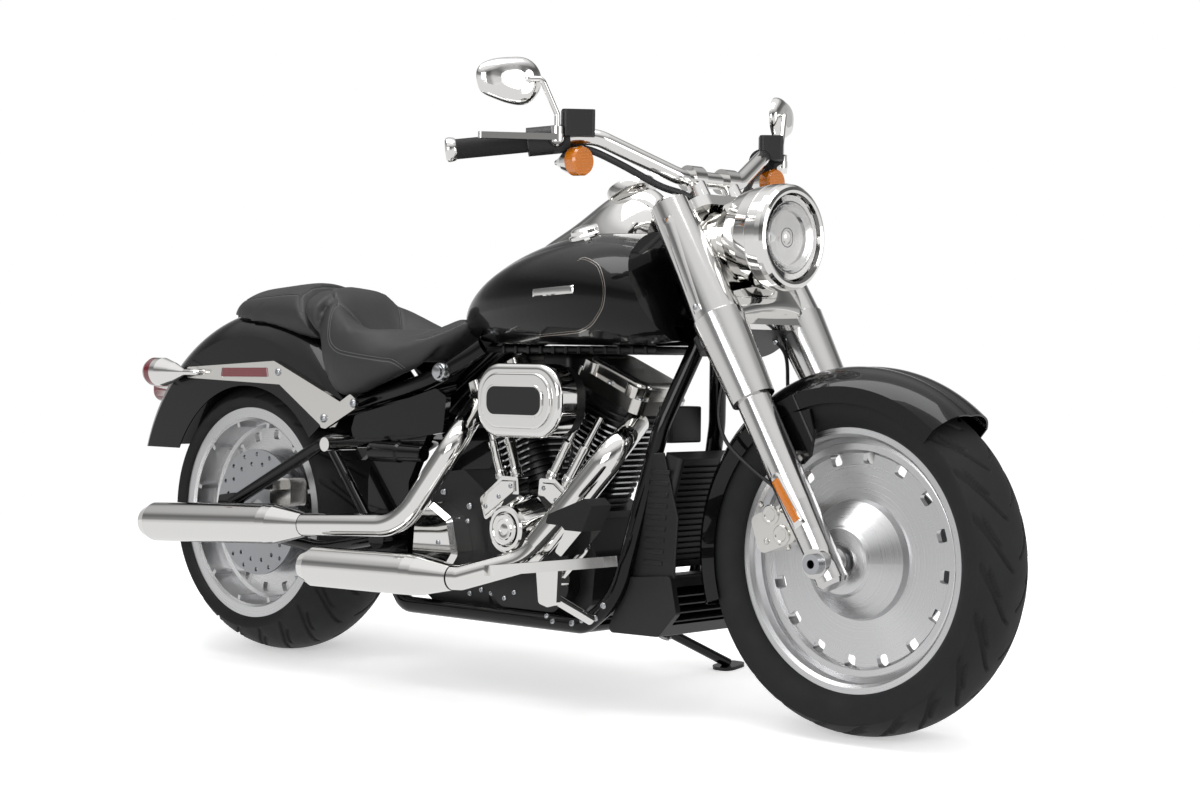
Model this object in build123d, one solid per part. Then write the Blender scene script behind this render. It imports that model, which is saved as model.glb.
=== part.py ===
"""Cruiser motorcycle, parked on its side stand.

Every piece is drawn on the upright machine, in millimetres: X forward, Y to the rider's left, Z up,
with the origin on the ground under the rear axle.  At the end the whole machine leans to the left
about the line between its tyres' contacts, as it rests on its stand, and moves to the centre of its
own footprint.
"""
from build123d import *
import os
from math import atan2, cos, degrees, radians, sin, sqrt, tan

# ---------------------------------------------------------------- driving dimensions
WHEELBASE = 1665.0
WHEEL_RADIUS = 324.5
RAKE = 30.0
TRAIL = 104.0
LEAN = 7.0
SEAT_GAP = 0.4          # between curved pieces that bolt together
RUNNING = 0.05          # radial clearance of a shaft in its bore
AXLE_RADIUS = 12.5
AXLE_BORE = 8.0

STEER = Plane(
    origin=(WHEELBASE + TRAIL, 0, 0),
    x_dir=(cos(radians(RAKE)), 0, sin(radians(RAKE))),
    z_dir=(-sin(radians(RAKE)), 0, cos(radians(RAKE))),
)
FRONT_HUB = Pos(WHEELBASE, 0, WHEEL_RADIUS) * Rot(X=-90)
REAR_HUB = Pos(0, 0, WHEEL_RADIUS) * Rot(X=-90)

nodes = {}


# ---------------------------------------------------------------- shapes used throughout
def turned(*profile):
    """Body turned about local Z from (height, radius) points."""
    outline = Polyline(*[(radius, 0, height) for height, radius in profile], close=True)
    return revolve(make_face(outline), Axis.Z)


def pipe(points, radius, bends=0.0):
    """Round bar along straight runs joined by arcs."""
    path = FilletPolyline(*points, radius=bends) if len(points) > 2 else Line(*points)
    return sweep(Plane(origin=path @ 0, z_dir=path % 0) * Circle(radius), path=path)


def rod(start, end, radius, end_radius=None):
    """Straight round bar, or a taper, between two points."""
    start = Vector(*start)
    along = Vector(*end) - start
    place = Plane(origin=start, z_dir=along)
    if end_radius is None:
        return place * Cylinder(radius, along.length, align=(Align.CENTER, Align.CENTER, Align.MIN))
    return place * Cone(radius, end_radius, along.length, align=(Align.CENTER, Align.CENTER, Align.MIN))


def block(x, y, z, corner=0.0):
    """Block between (low, high) pairs, its upright edges rounded."""
    body = Pos((x[0] + x[1]) / 2, (y[0] + y[1]) / 2, (z[0] + z[1]) / 2) * Box(
        x[1] - x[0], y[1] - y[0], z[1] - z[0]
    )
    return fillet(body.edges().filter_by(Axis.Z), corner) if corner else body


def side_plate(outline, y, corner=0.0):
    """Plate cut to an outline of (x, z) points, between two sideways stations."""
    low, high = min(y), max(y)
    face = make_face(Polyline(*[(px, low, pz) for px, pz in outline], close=True))
    body = extrude(face, amount=high - low, dir=(0, 1, 0))
    return fillet(body.edges().filter_by(Axis.Y), corner) if corner else body


def both(body):
    """The piece and its mirror image on the other side."""
    return [body, mirror(body, Plane.XZ)]


def crowned_section(x, half, low, top, base=0.75, shoulder=0.62, wide_at=0.45, shoulder_at=0.86):
    """Closed section across the machine: flat base, bowed sides, arched top."""
    rise = top - low
    base_right = (x, base * half, low)
    base_left = (x, -base * half, low)
    top_right = (x, shoulder * half, low + shoulder_at * rise)
    top_left = (x, -shoulder * half, low + shoulder_at * rise)
    wide = low + wide_at * rise
    return make_face([
        Line(base_left, base_right),
        ThreePointArc(base_right, (x, half, wide), top_right),
        ThreePointArc(top_right, (x, 0, top), top_left),
        ThreePointArc(top_left, (x, -half, wide), base_left),
    ])


def steer_side(u, s):
    """Point on the centre plane of the steering, forward u and up the axis s."""
    return STEER.from_local_coords((u, 0, s))


# ---------------------------------------------------------------- wheels
FRONT_TYRE_HALF = 78.0
REAR_TYRE_HALF = 121.0
RIM_SEAT_RADIUS = 232.0
RIM_LIP_RADIUS = 243.0
FRONT_RIM_HALF = 50.0
REAR_RIM_HALF = 108.0


def tyre(half, crown_radius, rim_half):
    """Tyre as its outer form: beads in the rim, bowed sides and a crown in six flats."""
    crown = [
        (crown_radius * sin(radians(a)), WHEEL_RADIUS - crown_radius * (1 - cos(radians(a))))
        for a in (-45, -30, -15, 0, 15, 30, 45)
    ]
    reach = half / crown[-1][0]
    crown = [(a * reach, r) for a, r in crown]
    seat = RIM_SEAT_RADIUS + SEAT_GAP
    lip = RIM_LIP_RADIUS + SEAT_GAP
    bead = rim_half - 8.9
    side = [(-half, crown[0][1] - 22), (-rim_half - 1, lip), (-bead, lip), (-bead, seat)]
    return turned(*reversed(side), *crown, *[(-a, r) for a, r in side])


front_tyre = tyre(FRONT_TYRE_HALF, 95.0, FRONT_RIM_HALF)
nodes["front_tyre"] = FRONT_HUB * front_tyre
rear_tyre = tyre(REAR_TYRE_HALF, 200.0, REAR_RIM_HALF)
nodes["rear_tyre"] = REAR_HUB * rear_tyre

HOLE_COUNT = 16


def rim_barrel(half, inner):
    """Rim barrel with its two lips."""
    seat = RIM_SEAT_RADIUS
    lip = RIM_LIP_RADIUS
    return turned(
        (-half, lip), (-half, inner + 6), (-half + 6, inner), (half - 6, inner), (half, inner + 6),
        (half, lip), (half - 7, lip), (half - 8.4, seat), (-half + 8.4, seat), (-half + 7, lip),
    )


def web_holes(radius, width, height, low, high):
    """Ring of rounded square holes through a wheel's web."""
    hole = extrude(RectangleRounded(width, height, 6), amount=high - low)
    return [Rot(Z=(i + 0.25) * 360 / HOLE_COUNT) * Pos(radius, 0, low) * hole for i in range(HOLE_COUNT)]


FRONT_BARREL_INNER = 226.0
front_web = turned(
    (-80, AXLE_RADIUS + RUNNING), (-80, 34), (-77, 60), (-70, 66), (-46, 92), (-32, 108), (-18, 112),
    (-16, 196), (-25, 202), (-25, 213), (-20, FRONT_BARREL_INNER + 2), (8, FRONT_BARREL_INNER + 2),
    (4, 200), (-4, 190), (-4, 104), (20, 92), (48, 70), (60, 66), (60, AXLE_RADIUS + RUNNING),
)
front_rim = rim_barrel(FRONT_RIM_HALF, FRONT_BARREL_INNER) + front_web
front_rim -= web_holes(188, 22, 24, -30, 12)
nodes["front_rim"] = FRONT_HUB * front_rim

REAR_BARREL_INNER = 214.0
REAR_WEB = -40.0
rear_web = turned(
    (-86, AXLE_RADIUS + RUNNING), (-86, 58), (-60, 62), (REAR_WEB - 8, 84), (REAR_WEB - 6, 196),
    (REAR_WEB - 12, 203), (REAR_WEB - 12, REAR_BARREL_INNER + 2), (REAR_WEB + 12, REAR_BARREL_INNER + 2),
    (REAR_WEB + 6, 190), (REAR_WEB + 8, 90), (20, 70), (88, 66), (88, AXLE_RADIUS + RUNNING),
)
rear_rim = rim_barrel(REAR_RIM_HALF, REAR_BARREL_INNER) + rear_web
rear_rim -= web_holes(180, 22, 24, REAR_WEB - 14, REAR_WEB + 14)
rib = Pos(REAR_BARREL_INNER - 5, 0, (REAR_WEB - REAR_RIM_HALF) / 2) * Box(12, 9, REAR_RIM_HALF + REAR_WEB - 14)
rear_rim += [Rot(Z=14 + i * 30) * rib for i in range(12)]
nodes["rear_rim"] = REAR_HUB * rear_rim


def brake_disc(outer, inner, low, thickness, hole_radii):
    """Drilled brake disc."""
    body = turned((low, inner), (low, outer), (low + thickness, outer), (low + thickness, inner))
    drill = Cylinder(5, thickness * 3)
    cuts = []
    for ring, radius in enumerate(hole_radii):
        cuts += [
            Rot(Z=(i + 0.5 * ring) * 20) * Pos(radius, 0, low) * drill for i in range(18)
        ]
    return body - cuts


FRONT_DISC_AT = 60.0
FRONT_DISC_THICK = 5.0
nodes["front_brake_disc"] = FRONT_HUB * brake_disc(150, 30, FRONT_DISC_AT, FRONT_DISC_THICK, (128,))
REAR_DISC_THICK = 6.0
REAR_DISC_AT = -86.0 - REAR_DISC_THICK
nodes["rear_brake_disc"] = REAR_HUB * brake_disc(146, 30, REAR_DISC_AT, REAR_DISC_THICK, (112, 134))

PULLEY_RADIUS = 106.0
PULLEY_AT = 126.0
PULLEY_WIDE = 24.0
pulley = turned(
    (88, AXLE_RADIUS + RUNNING), (88, 52), (PULLEY_AT, 44), (PULLEY_AT, PULLEY_RADIUS),
    (PULLEY_AT + PULLEY_WIDE, PULLEY_RADIUS), (PULLEY_AT + PULLEY_WIDE, PULLEY_RADIUS - 12),
    (PULLEY_AT + 10, PULLEY_RADIUS - 16), (PULLEY_AT + 10, 40), (PULLEY_AT + PULLEY_WIDE, 36),
    (PULLEY_AT + PULLEY_WIDE, AXLE_RADIUS + RUNNING),
)
nodes["rear_pulley"] = REAR_HUB * pulley

# ---------------------------------------------------------------- frame
RAIL_RADIUS = 17.0
RAIL_Z = 160.0
NECK_RADIUS = 36.0
STEM_RADIUS = 14.0
NECK_LOW = 851.0
NECK_HIGH = 1063.0
neck = STEER * turned(
    (NECK_LOW, STEM_RADIUS + RUNNING), (NECK_LOW, NECK_RADIUS + 5), (NECK_LOW + 26, NECK_RADIUS + 5),
    (NECK_LOW + 32, NECK_RADIUS), (NECK_HIGH - 32, NECK_RADIUS), (NECK_HIGH - 26, NECK_RADIUS + 5),
    (NECK_HIGH, NECK_RADIUS + 5), (NECK_HIGH, STEM_RADIUS + RUNNING),
)
stem_clearance = STEER * (Pos(0, 0, NECK_LOW - 10) * Cylinder(
    STEM_RADIUS + RUNNING, NECK_HIGH - NECK_LOW + 20, align=(Align.CENTER, Align.CENTER, Align.MIN)))
down_tube = pipe(
    [(1292, -22, 742), (1240, -84, 560), (1160, -118, 220), (1085, -130, RAIL_Z),
     (560, -130, RAIL_Z), (486, -104, 214), (470, -100, 420)],
    RAIL_RADIUS, [120, 160, 50, 60, 60],
)
BACKBONE_RADIUS = 30.0
BACKBONE = [(1270, 0, 800), (1120, 0, 786), (760, 0, 734), (640, 0, 650), (560, 0, 586)]
BACKBONE_BENDS = [160, 120, 100]
backbone = pipe(BACKBONE, BACKBONE_RADIUS, BACKBONE_BENDS)
seat_rail = pipe([(600, -14, 626), (540, -96, 600), (300, -100, 560)], 13, [60])
pivot_plate = side_plate(
    [(430, 200), (430, 420), (466, 560), (580, 604), (630, 545), (560, 420), (560, 200)], (-126, -104), 18)
cross_low = pipe([(1085, -125, RAIL_Z), (1085, 125, RAIL_Z)], 14)
cross_rear = pipe([(500, -112, 560), (500, 112, 560)], 16)
pivot_stub = rod((520, -150, 300), (520, -104, 300), 20)
half_frame = down_tube + seat_rail + pivot_plate + pivot_stub
frame = neck + backbone + half_frame + mirror(half_frame, Plane.XZ) + cross_low + cross_rear
frame -= stem_clearance
nodes["frame"] = frame

# ---------------------------------------------------------------- swinging rear arm and axle
ARM_Y = 168.0
ARM_RADIUS = 14.0
ARM_BOSS = 24.0
PIVOT = (520.0, 300.0)
DROPOUT = (ARM_Y - 8, ARM_Y + 10)
lower_arm = pipe([(20, -ARM_Y, 296), (330, -ARM_Y, 266), (PIVOT[0], -ARM_Y, PIVOT[1])], ARM_RADIUS, [300])
upper_arm = pipe([(10, -ARM_Y, 350), (345, -ARM_Y, 505), (408, -60, 512)], ARM_RADIUS, [50])
brace_arm = rod((345, -ARM_Y, 500), (PIVOT[0] - 10, -ARM_Y, PIVOT[1]), 11)
dropout = side_plate([(-44, 296), (-30, 366), (26, 374), (52, 330), (44, 280), (-20, 272)],
                     (-DROPOUT[1], -DROPOUT[0]), 8)
boss = rod((PIVOT[0], -ARM_Y - 14, PIVOT[1]), (PIVOT[0], -150.4, PIVOT[1]), ARM_BOSS)
half_arm = lower_arm + upper_arm + dropout + brace_arm + boss
axle_hole = Pos(0, 0, WHEEL_RADIUS) * Rot(X=-90) * Cylinder(AXLE_RADIUS + RUNNING, 400)
cross_member = rod((408, -64, 512), (408, 64, 512), ARM_RADIUS + 1)
swingarm = half_arm + mirror(half_arm, Plane.XZ) + cross_member
nodes["swingarm"] = swingarm - axle_hole


def hollow_axle(half_length, collar_half):
    """Hollow axle with a nut collar outside each dropout."""
    return turned(
        (-half_length, AXLE_BORE), (-half_length, AXLE_RADIUS + 6), (-collar_half, AXLE_RADIUS + 6),
        (-collar_half, AXLE_RADIUS), (collar_half, AXLE_RADIUS), (collar_half, AXLE_RADIUS + 6),
        (half_length, AXLE_RADIUS + 6), (half_length, AXLE_BORE),
    )


REAR_AXLE_HALF = DROPOUT[1] + 10
rear_axle = hollow_axle(REAR_AXLE_HALF, DROPOUT[1] + 0.2)
spacer_right = turned((-DROPOUT[0] + 0.2, AXLE_RADIUS), (-DROPOUT[0] + 0.2, 20), (-93, 20), (-93, AXLE_RADIUS))
spacer_left = turned((151, AXLE_RADIUS), (151, 20), (DROPOUT[0] - 0.2, 20), (DROPOUT[0] - 0.2, AXLE_RADIUS))
nodes["rear_axle"] = REAR_HUB * (rear_axle + spacer_right + spacer_left)

# rear caliper, over the front edge of the right disc and bolted to the arm
caliper_at = Pos(118, 0, WHEEL_RADIUS + 52)
caliper = Box(74, 46, 66)
caliper = fillet(caliper.edges().filter_by(Axis.Y), 14)
caliper = Pos(0, REAR_DISC_AT + REAR_DISC_THICK / 2 - 6, 0) * caliper
slot = Pos(-118, REAR_DISC_AT + REAR_DISC_THICK / 2, -52) * Rot(X=-90) * Cylinder(152, REAR_DISC_THICK + 10)
bracket = block((100, 136), (-153.6, -116), (384, 404))
nodes["rear_caliper"] = caliper_at * (caliper - slot) + bracket

# ---------------------------------------------------------------- engine
CRANK_X = 925.0
CRANK_Z = 250.0
BANK = 22.5
DECK = 168.0
HEAD = 330.0
ROCKER = 392.0
case_outline = [
    (780, 200), (830, 140), (1010, 140), (1075, 200), (1085, 300), (1040, 372),
    (CRANK_X + 20, 420), (CRANK_X - 20, 420), (810, 372), (780, 330),
]
crankcase = side_plate(case_outline, (-100, 108), 20)
gear_case = side_plate(
    [(812, 214), (850, 179), (1004, 179), (1040, 220), (1040, 330), (CRANK_X + 60, 410),
     (CRANK_X - 60, 410), (812, 330)], (-132, -100), 26)


def bank_place(sign):
    """Place of a cylinder: local Z up its bore, local X forward."""
    return Pos(CRANK_X, 0, CRANK_Z) * Rot(Y=sign * BANK)


def bore_block(low, high, length, width, corner):
    """Rounded block across a bore between two heights."""
    return Pos(0, 0, low) * extrude(RectangleRounded(length, width, corner), amount=high - low)


def finned_cylinder(sign):
    """Barrel and head as one core with a stack of plate fins."""
    core = bore_block(DECK, ROCKER - 0.3, 104, 120, 40)
    fins = []
    pitch = 13.0
    count = int((ROCKER - 12 - DECK) / pitch)
    for i in range(count):
        height = DECK + 8 + i * pitch
        grow = min(1.0, 0.82 + 0.18 * i / (count - 4))
        fins.append(bore_block(height, height + 3.4, 142 * grow, 160 * grow, 46))
    head = bore_block(HEAD + 10, ROCKER - 0.3, 128, 132, 30)
    return bank_place(sign) * (core + fins + head)


cylinders = {1: finned_cylinder(1), -1: finned_cylinder(-1)}
for sign in (1, -1):
    crankcase += bank_place(sign) * bore_block(118, DECK - 0.3, 132, 150, 30)
for sign in (1, -1):
    deck_cut = bank_place(sign) * bore_block(DECK - 0.3, DECK + 100, 130, 150, 30)
    crankcase -= deck_cut
drive_neck = rod((CRANK_X, 100, CRANK_Z + 8), (CRANK_X, 151.7, CRANK_Z + 8), 78)
engine_lugs = [rod((x, -90, RAIL_Z), (x, -112.6, RAIL_Z), 15) for x in (850, 990)]
engine_lugs += [rod((x, 90, RAIL_Z), (x, 112.6, RAIL_Z), 15) for x in (850, 990)]
nodes["crankcase"] = crankcase + gear_case + drive_neck + engine_lugs
nodes["front_cylinder"] = cylinders[1]
nodes["rear_cylinder"] = cylinders[-1]


def rocker_cover(sign):
    """Two-storey cover: a flanged lower box and a domed top with its bolt bosses."""
    lower = bore_block(ROCKER, ROCKER + 30, 190, 150, 22)
    upper = bore_block(ROCKER + 30, ROCKER + 62, 168, 128, 26)
    upper = fillet(upper.faces().sort_by(Axis.Z)[-1].edges(), 12)
    boss = Pos(62, -60, 0) * bore_block(ROCKER + 28, ROCKER + 52, 34, 34, 12)
    boss2 = Pos(-62, -60, 0) * bore_block(ROCKER + 28, ROCKER + 52, 34, 34, 12)
    return bank_place(sign) * (lower + upper + boss + boss2)


nodes["rocker_covers"] = [rocker_cover(1), rocker_cover(-1)]

# push rod tubes stand on lifter blocks over the gear case and end under the heads
tube_table = [  # foot x, foot z, head x, head z
    (1012, 428, 1088, 612),
    (968, 436, 1040, 622),
    (882, 436, 812, 622),
    (838, 428, 764, 612),
]
tubes = []
for foot_x, foot_z, head_x, head_z in tube_table:
    foot = (foot_x, -116, foot_z)
    head = (head_x, -92, head_z - 40)
    middle = tuple(foot[i] + 0.55 * (head[i] - foot[i]) for i in range(3))
    tubes.append(rod(foot, middle, 10.5) + rod(middle, head, 7.5))
lifter_front = side_plate([(952, 410.3), (1050, 352), (1066, 398), (1000, 446), (956, 446)], (-131, -101), 6)
lifter_rear = side_plate([(898, 410.3), (800, 352), (784, 398), (850, 446), (894, 446)], (-131, -101), 6)
gear_cut = side_plate(
    [(811.6, 100), (1040.4, 100), (1040.4, 330.4), (CRANK_X + 60.4, 410.3),
     (CRANK_X - 60.4, 410.3), (811.6, 330.4)], (-140, -99.7))
nodes["pushrod_tubes"] = [
    (lifter_front - gear_cut) + tubes[0] + tubes[1],
    (lifter_rear - gear_cut) + tubes[2] + tubes[3],
]

# nose cover over the cam drive
CAM_X = 932.0
CAM_Z = 345.0
cam_place = Pos(CAM_X, -132.3, CAM_Z) * Rot(X=90)
cam_cover = cam_place * turned((0, 0), (0, 68), (10, 68), (58, 47), (70, 47), (72, 43), (72, 36), (66, 34), (66, 0))
nodes["cam_cover"] = cam_cover

# gearbox behind the crankcase, its bright side cover and the long cover of the primary drive
gearbox = side_plate(
    [(576, 190), (640, 150), (779.7, 150), (779.7, 400), (700, 452), (600, 440), (576, 380)], (-96, 96), 14)
PRIMARY_REAR = (672.0, 300.0, 112.0)
gearbox += rod((PRIMARY_REAR[0], 96, PRIMARY_REAR[1]), (PRIMARY_REAR[0], 126, PRIMARY_REAR[1]), 60)
gearbox += rod((PRIMARY_REAR[0], 126, PRIMARY_REAR[1]), (PRIMARY_REAR[0], 151.7, PRIMARY_REAR[1]), 30)
nodes["gearbox"] = gearbox
gear_cover = side_plate([(590, 262), (612, 240), (702, 240), (730, 276), (712, 352), (652, 384), (600, 372)],
                        (-96.3, -150), 16)
gear_cover = chamfer(gear_cover.faces().sort_by(Axis.Y)[0].edges(), 10)
nodes["gearbox_cover"] = gear_cover

PRIMARY_FRONT = (925.0, 258.0, 112.0)
primary_face = make_hull(
    (Pos(PRIMARY_FRONT[0], PRIMARY_FRONT[1]) * Circle(PRIMARY_FRONT[2])).edges()
    + (Pos(PRIMARY_REAR[0], PRIMARY_REAR[1]) * Circle(PRIMARY_REAR[2])).edges()
)
PRIMARY_IN = 152.0
PRIMARY_OUT = 204.0
primary = Plane.XZ * extrude(primary_face, amount=PRIMARY_OUT - PRIMARY_IN)
primary = Pos(0, PRIMARY_OUT, 0) * primary
primary = fillet(primary.faces().sort_by(Axis.Y)[-1].edges(), 18)
derby = Pos(PRIMARY_REAR[0], PRIMARY_OUT, PRIMARY_REAR[1]) * Rot(X=-90) * turned((-6, 0), (-6, 84), (8, 84), (14, 76), (16, 0))
stator = Pos(PRIMARY_FRONT[0], PRIMARY_OUT, PRIMARY_FRONT[1]) * Rot(X=-90) * turned((-6, 0), (-6, 62), (5, 62), (9, 56), (9, 0))
nodes["primary_cover"] = primary + derby + stator

# air cleaner: a black back plate on the heads and a stepped bright cover
AIR_X = 966.0
AIR_Z = 603.0
AIR_BACK = -128.0
air_place = Pos(AIR_X, 0, AIR_Z) * Rot(X=90)


def air_oval(width, height, corner, low, high, edge=0.0):
    """Block with big round corners between two distances out from the centre plane."""
    body = Pos(0, 0, low) * extrude(RectangleRounded(width, height, corner), amount=high - low)
    return fillet(body.faces().sort_by(Axis.Z)[-1].edges(), edge) if edge else body


air_base = air_oval(222, 138, 58, -AIR_BACK, -AIR_BACK + 30)
intake = rod((930, AIR_BACK + 5, 592), (925, -20, 552), 26) + rod((830, -20, 552), (1020, -20, 552), 20)
air_cover = air_oval(234, 148, 62, -AIR_BACK + 30.3, -AIR_BACK + 82, 12)
air_cover += air_oval(196, 112, 50, -AIR_BACK + 80, -AIR_BACK + 88, 5)
air_cover += air_oval(128, 50, 20, -AIR_BACK + 86, -AIR_BACK + 91)
nodes["air_cleaner_cover"] = air_place * air_cover

# ---------------------------------------------------------------- exhaust
PIPE_RADIUS = 25.0
rear_header = pipe(
    [(704, -70, 579), (772, -186, 520), (655, -232, 338), (350.6, -236, 322)], PIPE_RADIUS, [50, 110])
FRONT_HEADER = [(1135, -40, 560), (1190, -150, 520), (1010, -216, 290), (862, -256, 246), (842, -256.9, 245)]
front_header = pipe(FRONT_HEADER, PIPE_RADIUS, [60, 90, 14])


def port_clear(sign):
    """Space of a cylinder and its rocker cover, with a little room all round."""
    barrel = bore_block(160, ROCKER - 1, 142.5, 160.5, 46.2)
    cover = bore_block(ROCKER - 1, ROCKER + 30.4, 190.8, 150.8, 22)
    return bank_place(sign) * (barrel + cover)


nodes["air_cleaner_base"] = air_place * air_base + (intake - port_clear(1) - port_clear(-1))
nodes["exhaust_headers"] = [
    (rear_header - port_clear(-1)).solids().sort_by(lambda piece: piece.volume)[-1],
    (front_header - port_clear(1)).solids().sort_by(lambda piece: piece.volume)[-1],
]


def muffler(start, end, body_radius, tip_cut):
    """Turned muffler: an inlet cone, a straight body and a slanted tip."""
    along = Vector(*end) - Vector(*start)
    length = along.length
    form = turned(
        (0, 0), (0, PIPE_RADIUS + 1), (90, body_radius - 2), (120, body_radius), (length - 30, body_radius),
        (length, body_radius - 10), (length, body_radius - 16), (length - 70, body_radius - 16), (length - 70, 0),
    )
    placed = Plane(origin=start, z_dir=along) * form
    cutter = Pos(end[0], end[1], end[2] - body_radius) * Rot(Y=-tip_cut) * Pos(-200, 0, 100) * Box(400, 300, 400)
    return placed - cutter


nodes["upper_muffler"] = muffler((350.0 - 0.3, -236, 322), (-215, -236, 297), 45, 40)
nodes["lower_muffler"] = muffler((840.0 - 0.3, -257, 245), (385, -257, 236), 43, 0)

# bright shield over the front header, a half shell that stands just off the pipe
SHIELD_GAP = 3.0
shield = pipe(FRONT_HEADER, PIPE_RADIUS + SHIELD_GAP + 2.5, [60, 90, 14]) - pipe(
    FRONT_HEADER, PIPE_RADIUS + SHIELD_GAP, [60, 90, 14])
shield_mid = Vector(1116, -177, 425)
shield_run = (Vector(*FRONT_HEADER[2]) - Vector(*FRONT_HEADER[1])).normalized()
shield_out = (Vector(0.3, -1, 0) - shield_run * Vector(0.3, -1, 0).dot(shield_run)).normalized()
shield_keep = Plane(origin=shield_mid, x_dir=shield_run, z_dir=shield_out) * Pos(0, 0, 40) * Box(276, 120, 80)
shield_band = pipe(FRONT_HEADER, PIPE_RADIUS + SHIELD_GAP + 1, [60, 90, 14]) - pipe(
    FRONT_HEADER, PIPE_RADIUS + 0.4, [60, 90, 14])
for along in (-108, 96):
    shield_band_keep = Plane(origin=shield_mid, x_dir=shield_run, z_dir=shield_out) * Pos(along, 0, 40) * Box(12, 120, 80)
    shield += shield_band & shield_band_keep
nodes["heat_shield"] = (shield & shield_keep).solids().sort_by(lambda piece: piece.volume)[-1]

# ---------------------------------------------------------------- tank and its console
TANK_STATIONS = [  # x, half width, base z, top z
    (640, 34, 748, 782),
    (700, 88, 730, 842),
    (790, 132, 719, 893),
    (900, 162, 716, 928),
    (1020, 180, 715, 948),
    (1130, 183, 715, 948),
    (1220, 172, 717, 925),
    (1310, 140, 726, 880),
]
TANK_NOSE = -52.0       # the front face stands this far behind the steering axis


def tank_form(extra=0.0):
    """Teardrop form of the tank, grown all over by extra, before its tunnel is cut."""
    return loft([crowned_section(x, half + extra, low - extra, top + extra)
                 for x, half, low, top in TANK_STATIONS])


def ahead_of(u):
    """Big block ahead of a plane parallel to the steering axis."""
    return STEER * (Pos(u + 500, 0, 900) * Box(1000, 1200, 1800))


def backbone_tunnel(extra):
    """Space of the backbone and everything under it."""
    path = [Vector(*p) for p in BACKBONE]
    outline = [(path[0].X + 60, path[0].Z + 44), (path[1].X, path[1].Z + 40), (path[2].X - 60, path[2].Z + 26),
               (path[2].X - 60, 560), (path[0].X + 60, 560)]
    return side_plate(outline, (-BACKBONE_RADIUS - extra, BACKBONE_RADIUS + extra), 12)


tank = tank_form() - ahead_of(TANK_NOSE)
tank -= backbone_tunnel(6)
tank -= block((1180, 1340), (-92, 92), (650, 752), 20)
tank -= pipe(BACKBONE, BACKBONE_RADIUS + 4, BACKBONE_BENDS)
nodes["fuel_tank"] = tank

CONSOLE_STATIONS = [  # x, half width, base z, top z
    (830, 22, 850, 915),
    (930, 50, 850, 962),
    (1010, 68, 850, 1004),
    (1080, 76, 850, 1032),
    (1130, 70, 850, 1030),
    (1165, 52, 850, 1000),
]
console = loft([crowned_section(x, half, low, top, 1.0, 0.55, 0.5, 0.84) for x, half, low, top in CONSOLE_STATIONS])
console -= tank_form(SEAT_GAP)
console = console.solids().sort_by(lambda piece: piece.volume)[-1]
nodes["tank_console"] = console

# ---------------------------------------------------------------- rear fender, struts and lamps
FENDER_X = 14.0
FENDER_RISE = 8.0
FENDER_CROWN = 463.0
FENDER_SIDE = 400.0
FENDER_HEM = 286.0
FENDER_HALF = 138.0
FENDER_SKIN = 3.0
FENDER_FROM = 37.0
FENDER_TO = 178.0
FENDER_CUT_Z = 466.0


def fender_band(crown, side, hem, half, skin):
    """Half section of a fender: hem, upright side and arched crown, as one closed skin."""
    def line(offset):
        corner = (side - 0.4 * offset, 0, half - offset)
        return [
            Line((hem, 0, half - offset), corner),
            ThreePointArc(corner, (side + 0.7 * (crown - side) - offset, 0, 0.72 * (half - offset)),
                          (crown - offset, 0, 0)),
        ]
    ends = [Line((hem, 0, half), (hem, 0, half - skin)), Line((crown, 0, 0), (crown - skin, 0, 0))]
    return make_face(line(0) + line(skin) + ends)


def swept_fender(centre_x, centre_z, section, start, stop):
    """Fender section swung about a sideways centre line between two angles above forward."""
    half = Rot(Z=-stop) * revolve(section, Axis.Z, stop - start)
    placed = Pos(centre_x, 0, centre_z) * Rot(X=-90) * half
    return placed + mirror(placed, Plane.XZ)


rear_fender = swept_fender(FENDER_X, WHEEL_RADIUS + FENDER_RISE, fender_band(FENDER_CROWN, FENDER_SIDE, FENDER_HEM, FENDER_HALF, FENDER_SKIN),
                           FENDER_FROM, FENDER_TO)
rear_fender -= block((-700, -150), (-200, 200), (0, FENDER_CUT_Z))
nodes["rear_fender"] = rear_fender
fender_clear = swept_fender(
    FENDER_X, WHEEL_RADIUS + FENDER_RISE, fender_band(FENDER_CROWN + 0.8, FENDER_SIDE + 0.6, 100, FENDER_HALF + 0.6, 380), FENDER_FROM, FENDER_TO)

STRUT_THICK = 11.0
STRUT_IN = FENDER_HALF + 0.3
strut_outline = [(-194, 634), (-194, 659), (130, 676), (152, 668), (376, 582), (330, 530), (306, 528), (150, 623)]
strut = side_plate(strut_outline, (-STRUT_IN, -STRUT_IN - STRUT_THICK), 6)
reflector_pocket = side_plate([(-64, 636), (-60, 660), (108, 662), (112, 638)],
                              (-STRUT_IN - STRUT_THICK + 2, -STRUT_IN - 40), 4)
nodes["fender_struts"] = both(strut - reflector_pocket)

link_outline = [(306, 530), (300, 552), (404, 606), (424, 594), (420, 574), (322, 528)]
link = side_plate(link_outline, (-STRUT_IN - STRUT_THICK - 0.3, -STRUT_IN - STRUT_THICK - 9), 7)
nodes["strut_links"] = both(link)


def bullet(centre, radius, length, facing):
    """Teardrop lamp body with a domed lens at its open end."""
    half = length / 2
    body = turned(
        (half * 1.0, 0), (half, radius * 0.9), (half * 0.86, radius), (half * 0.3, radius * 0.98),
        (-half * 0.3, radius * 0.66), (-half * 0.8, radius * 0.26), (-half, radius * 0.16), (-half, 0),
    )
    return Pos(*centre) * Rot(Y=90 * facing) * body


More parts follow.
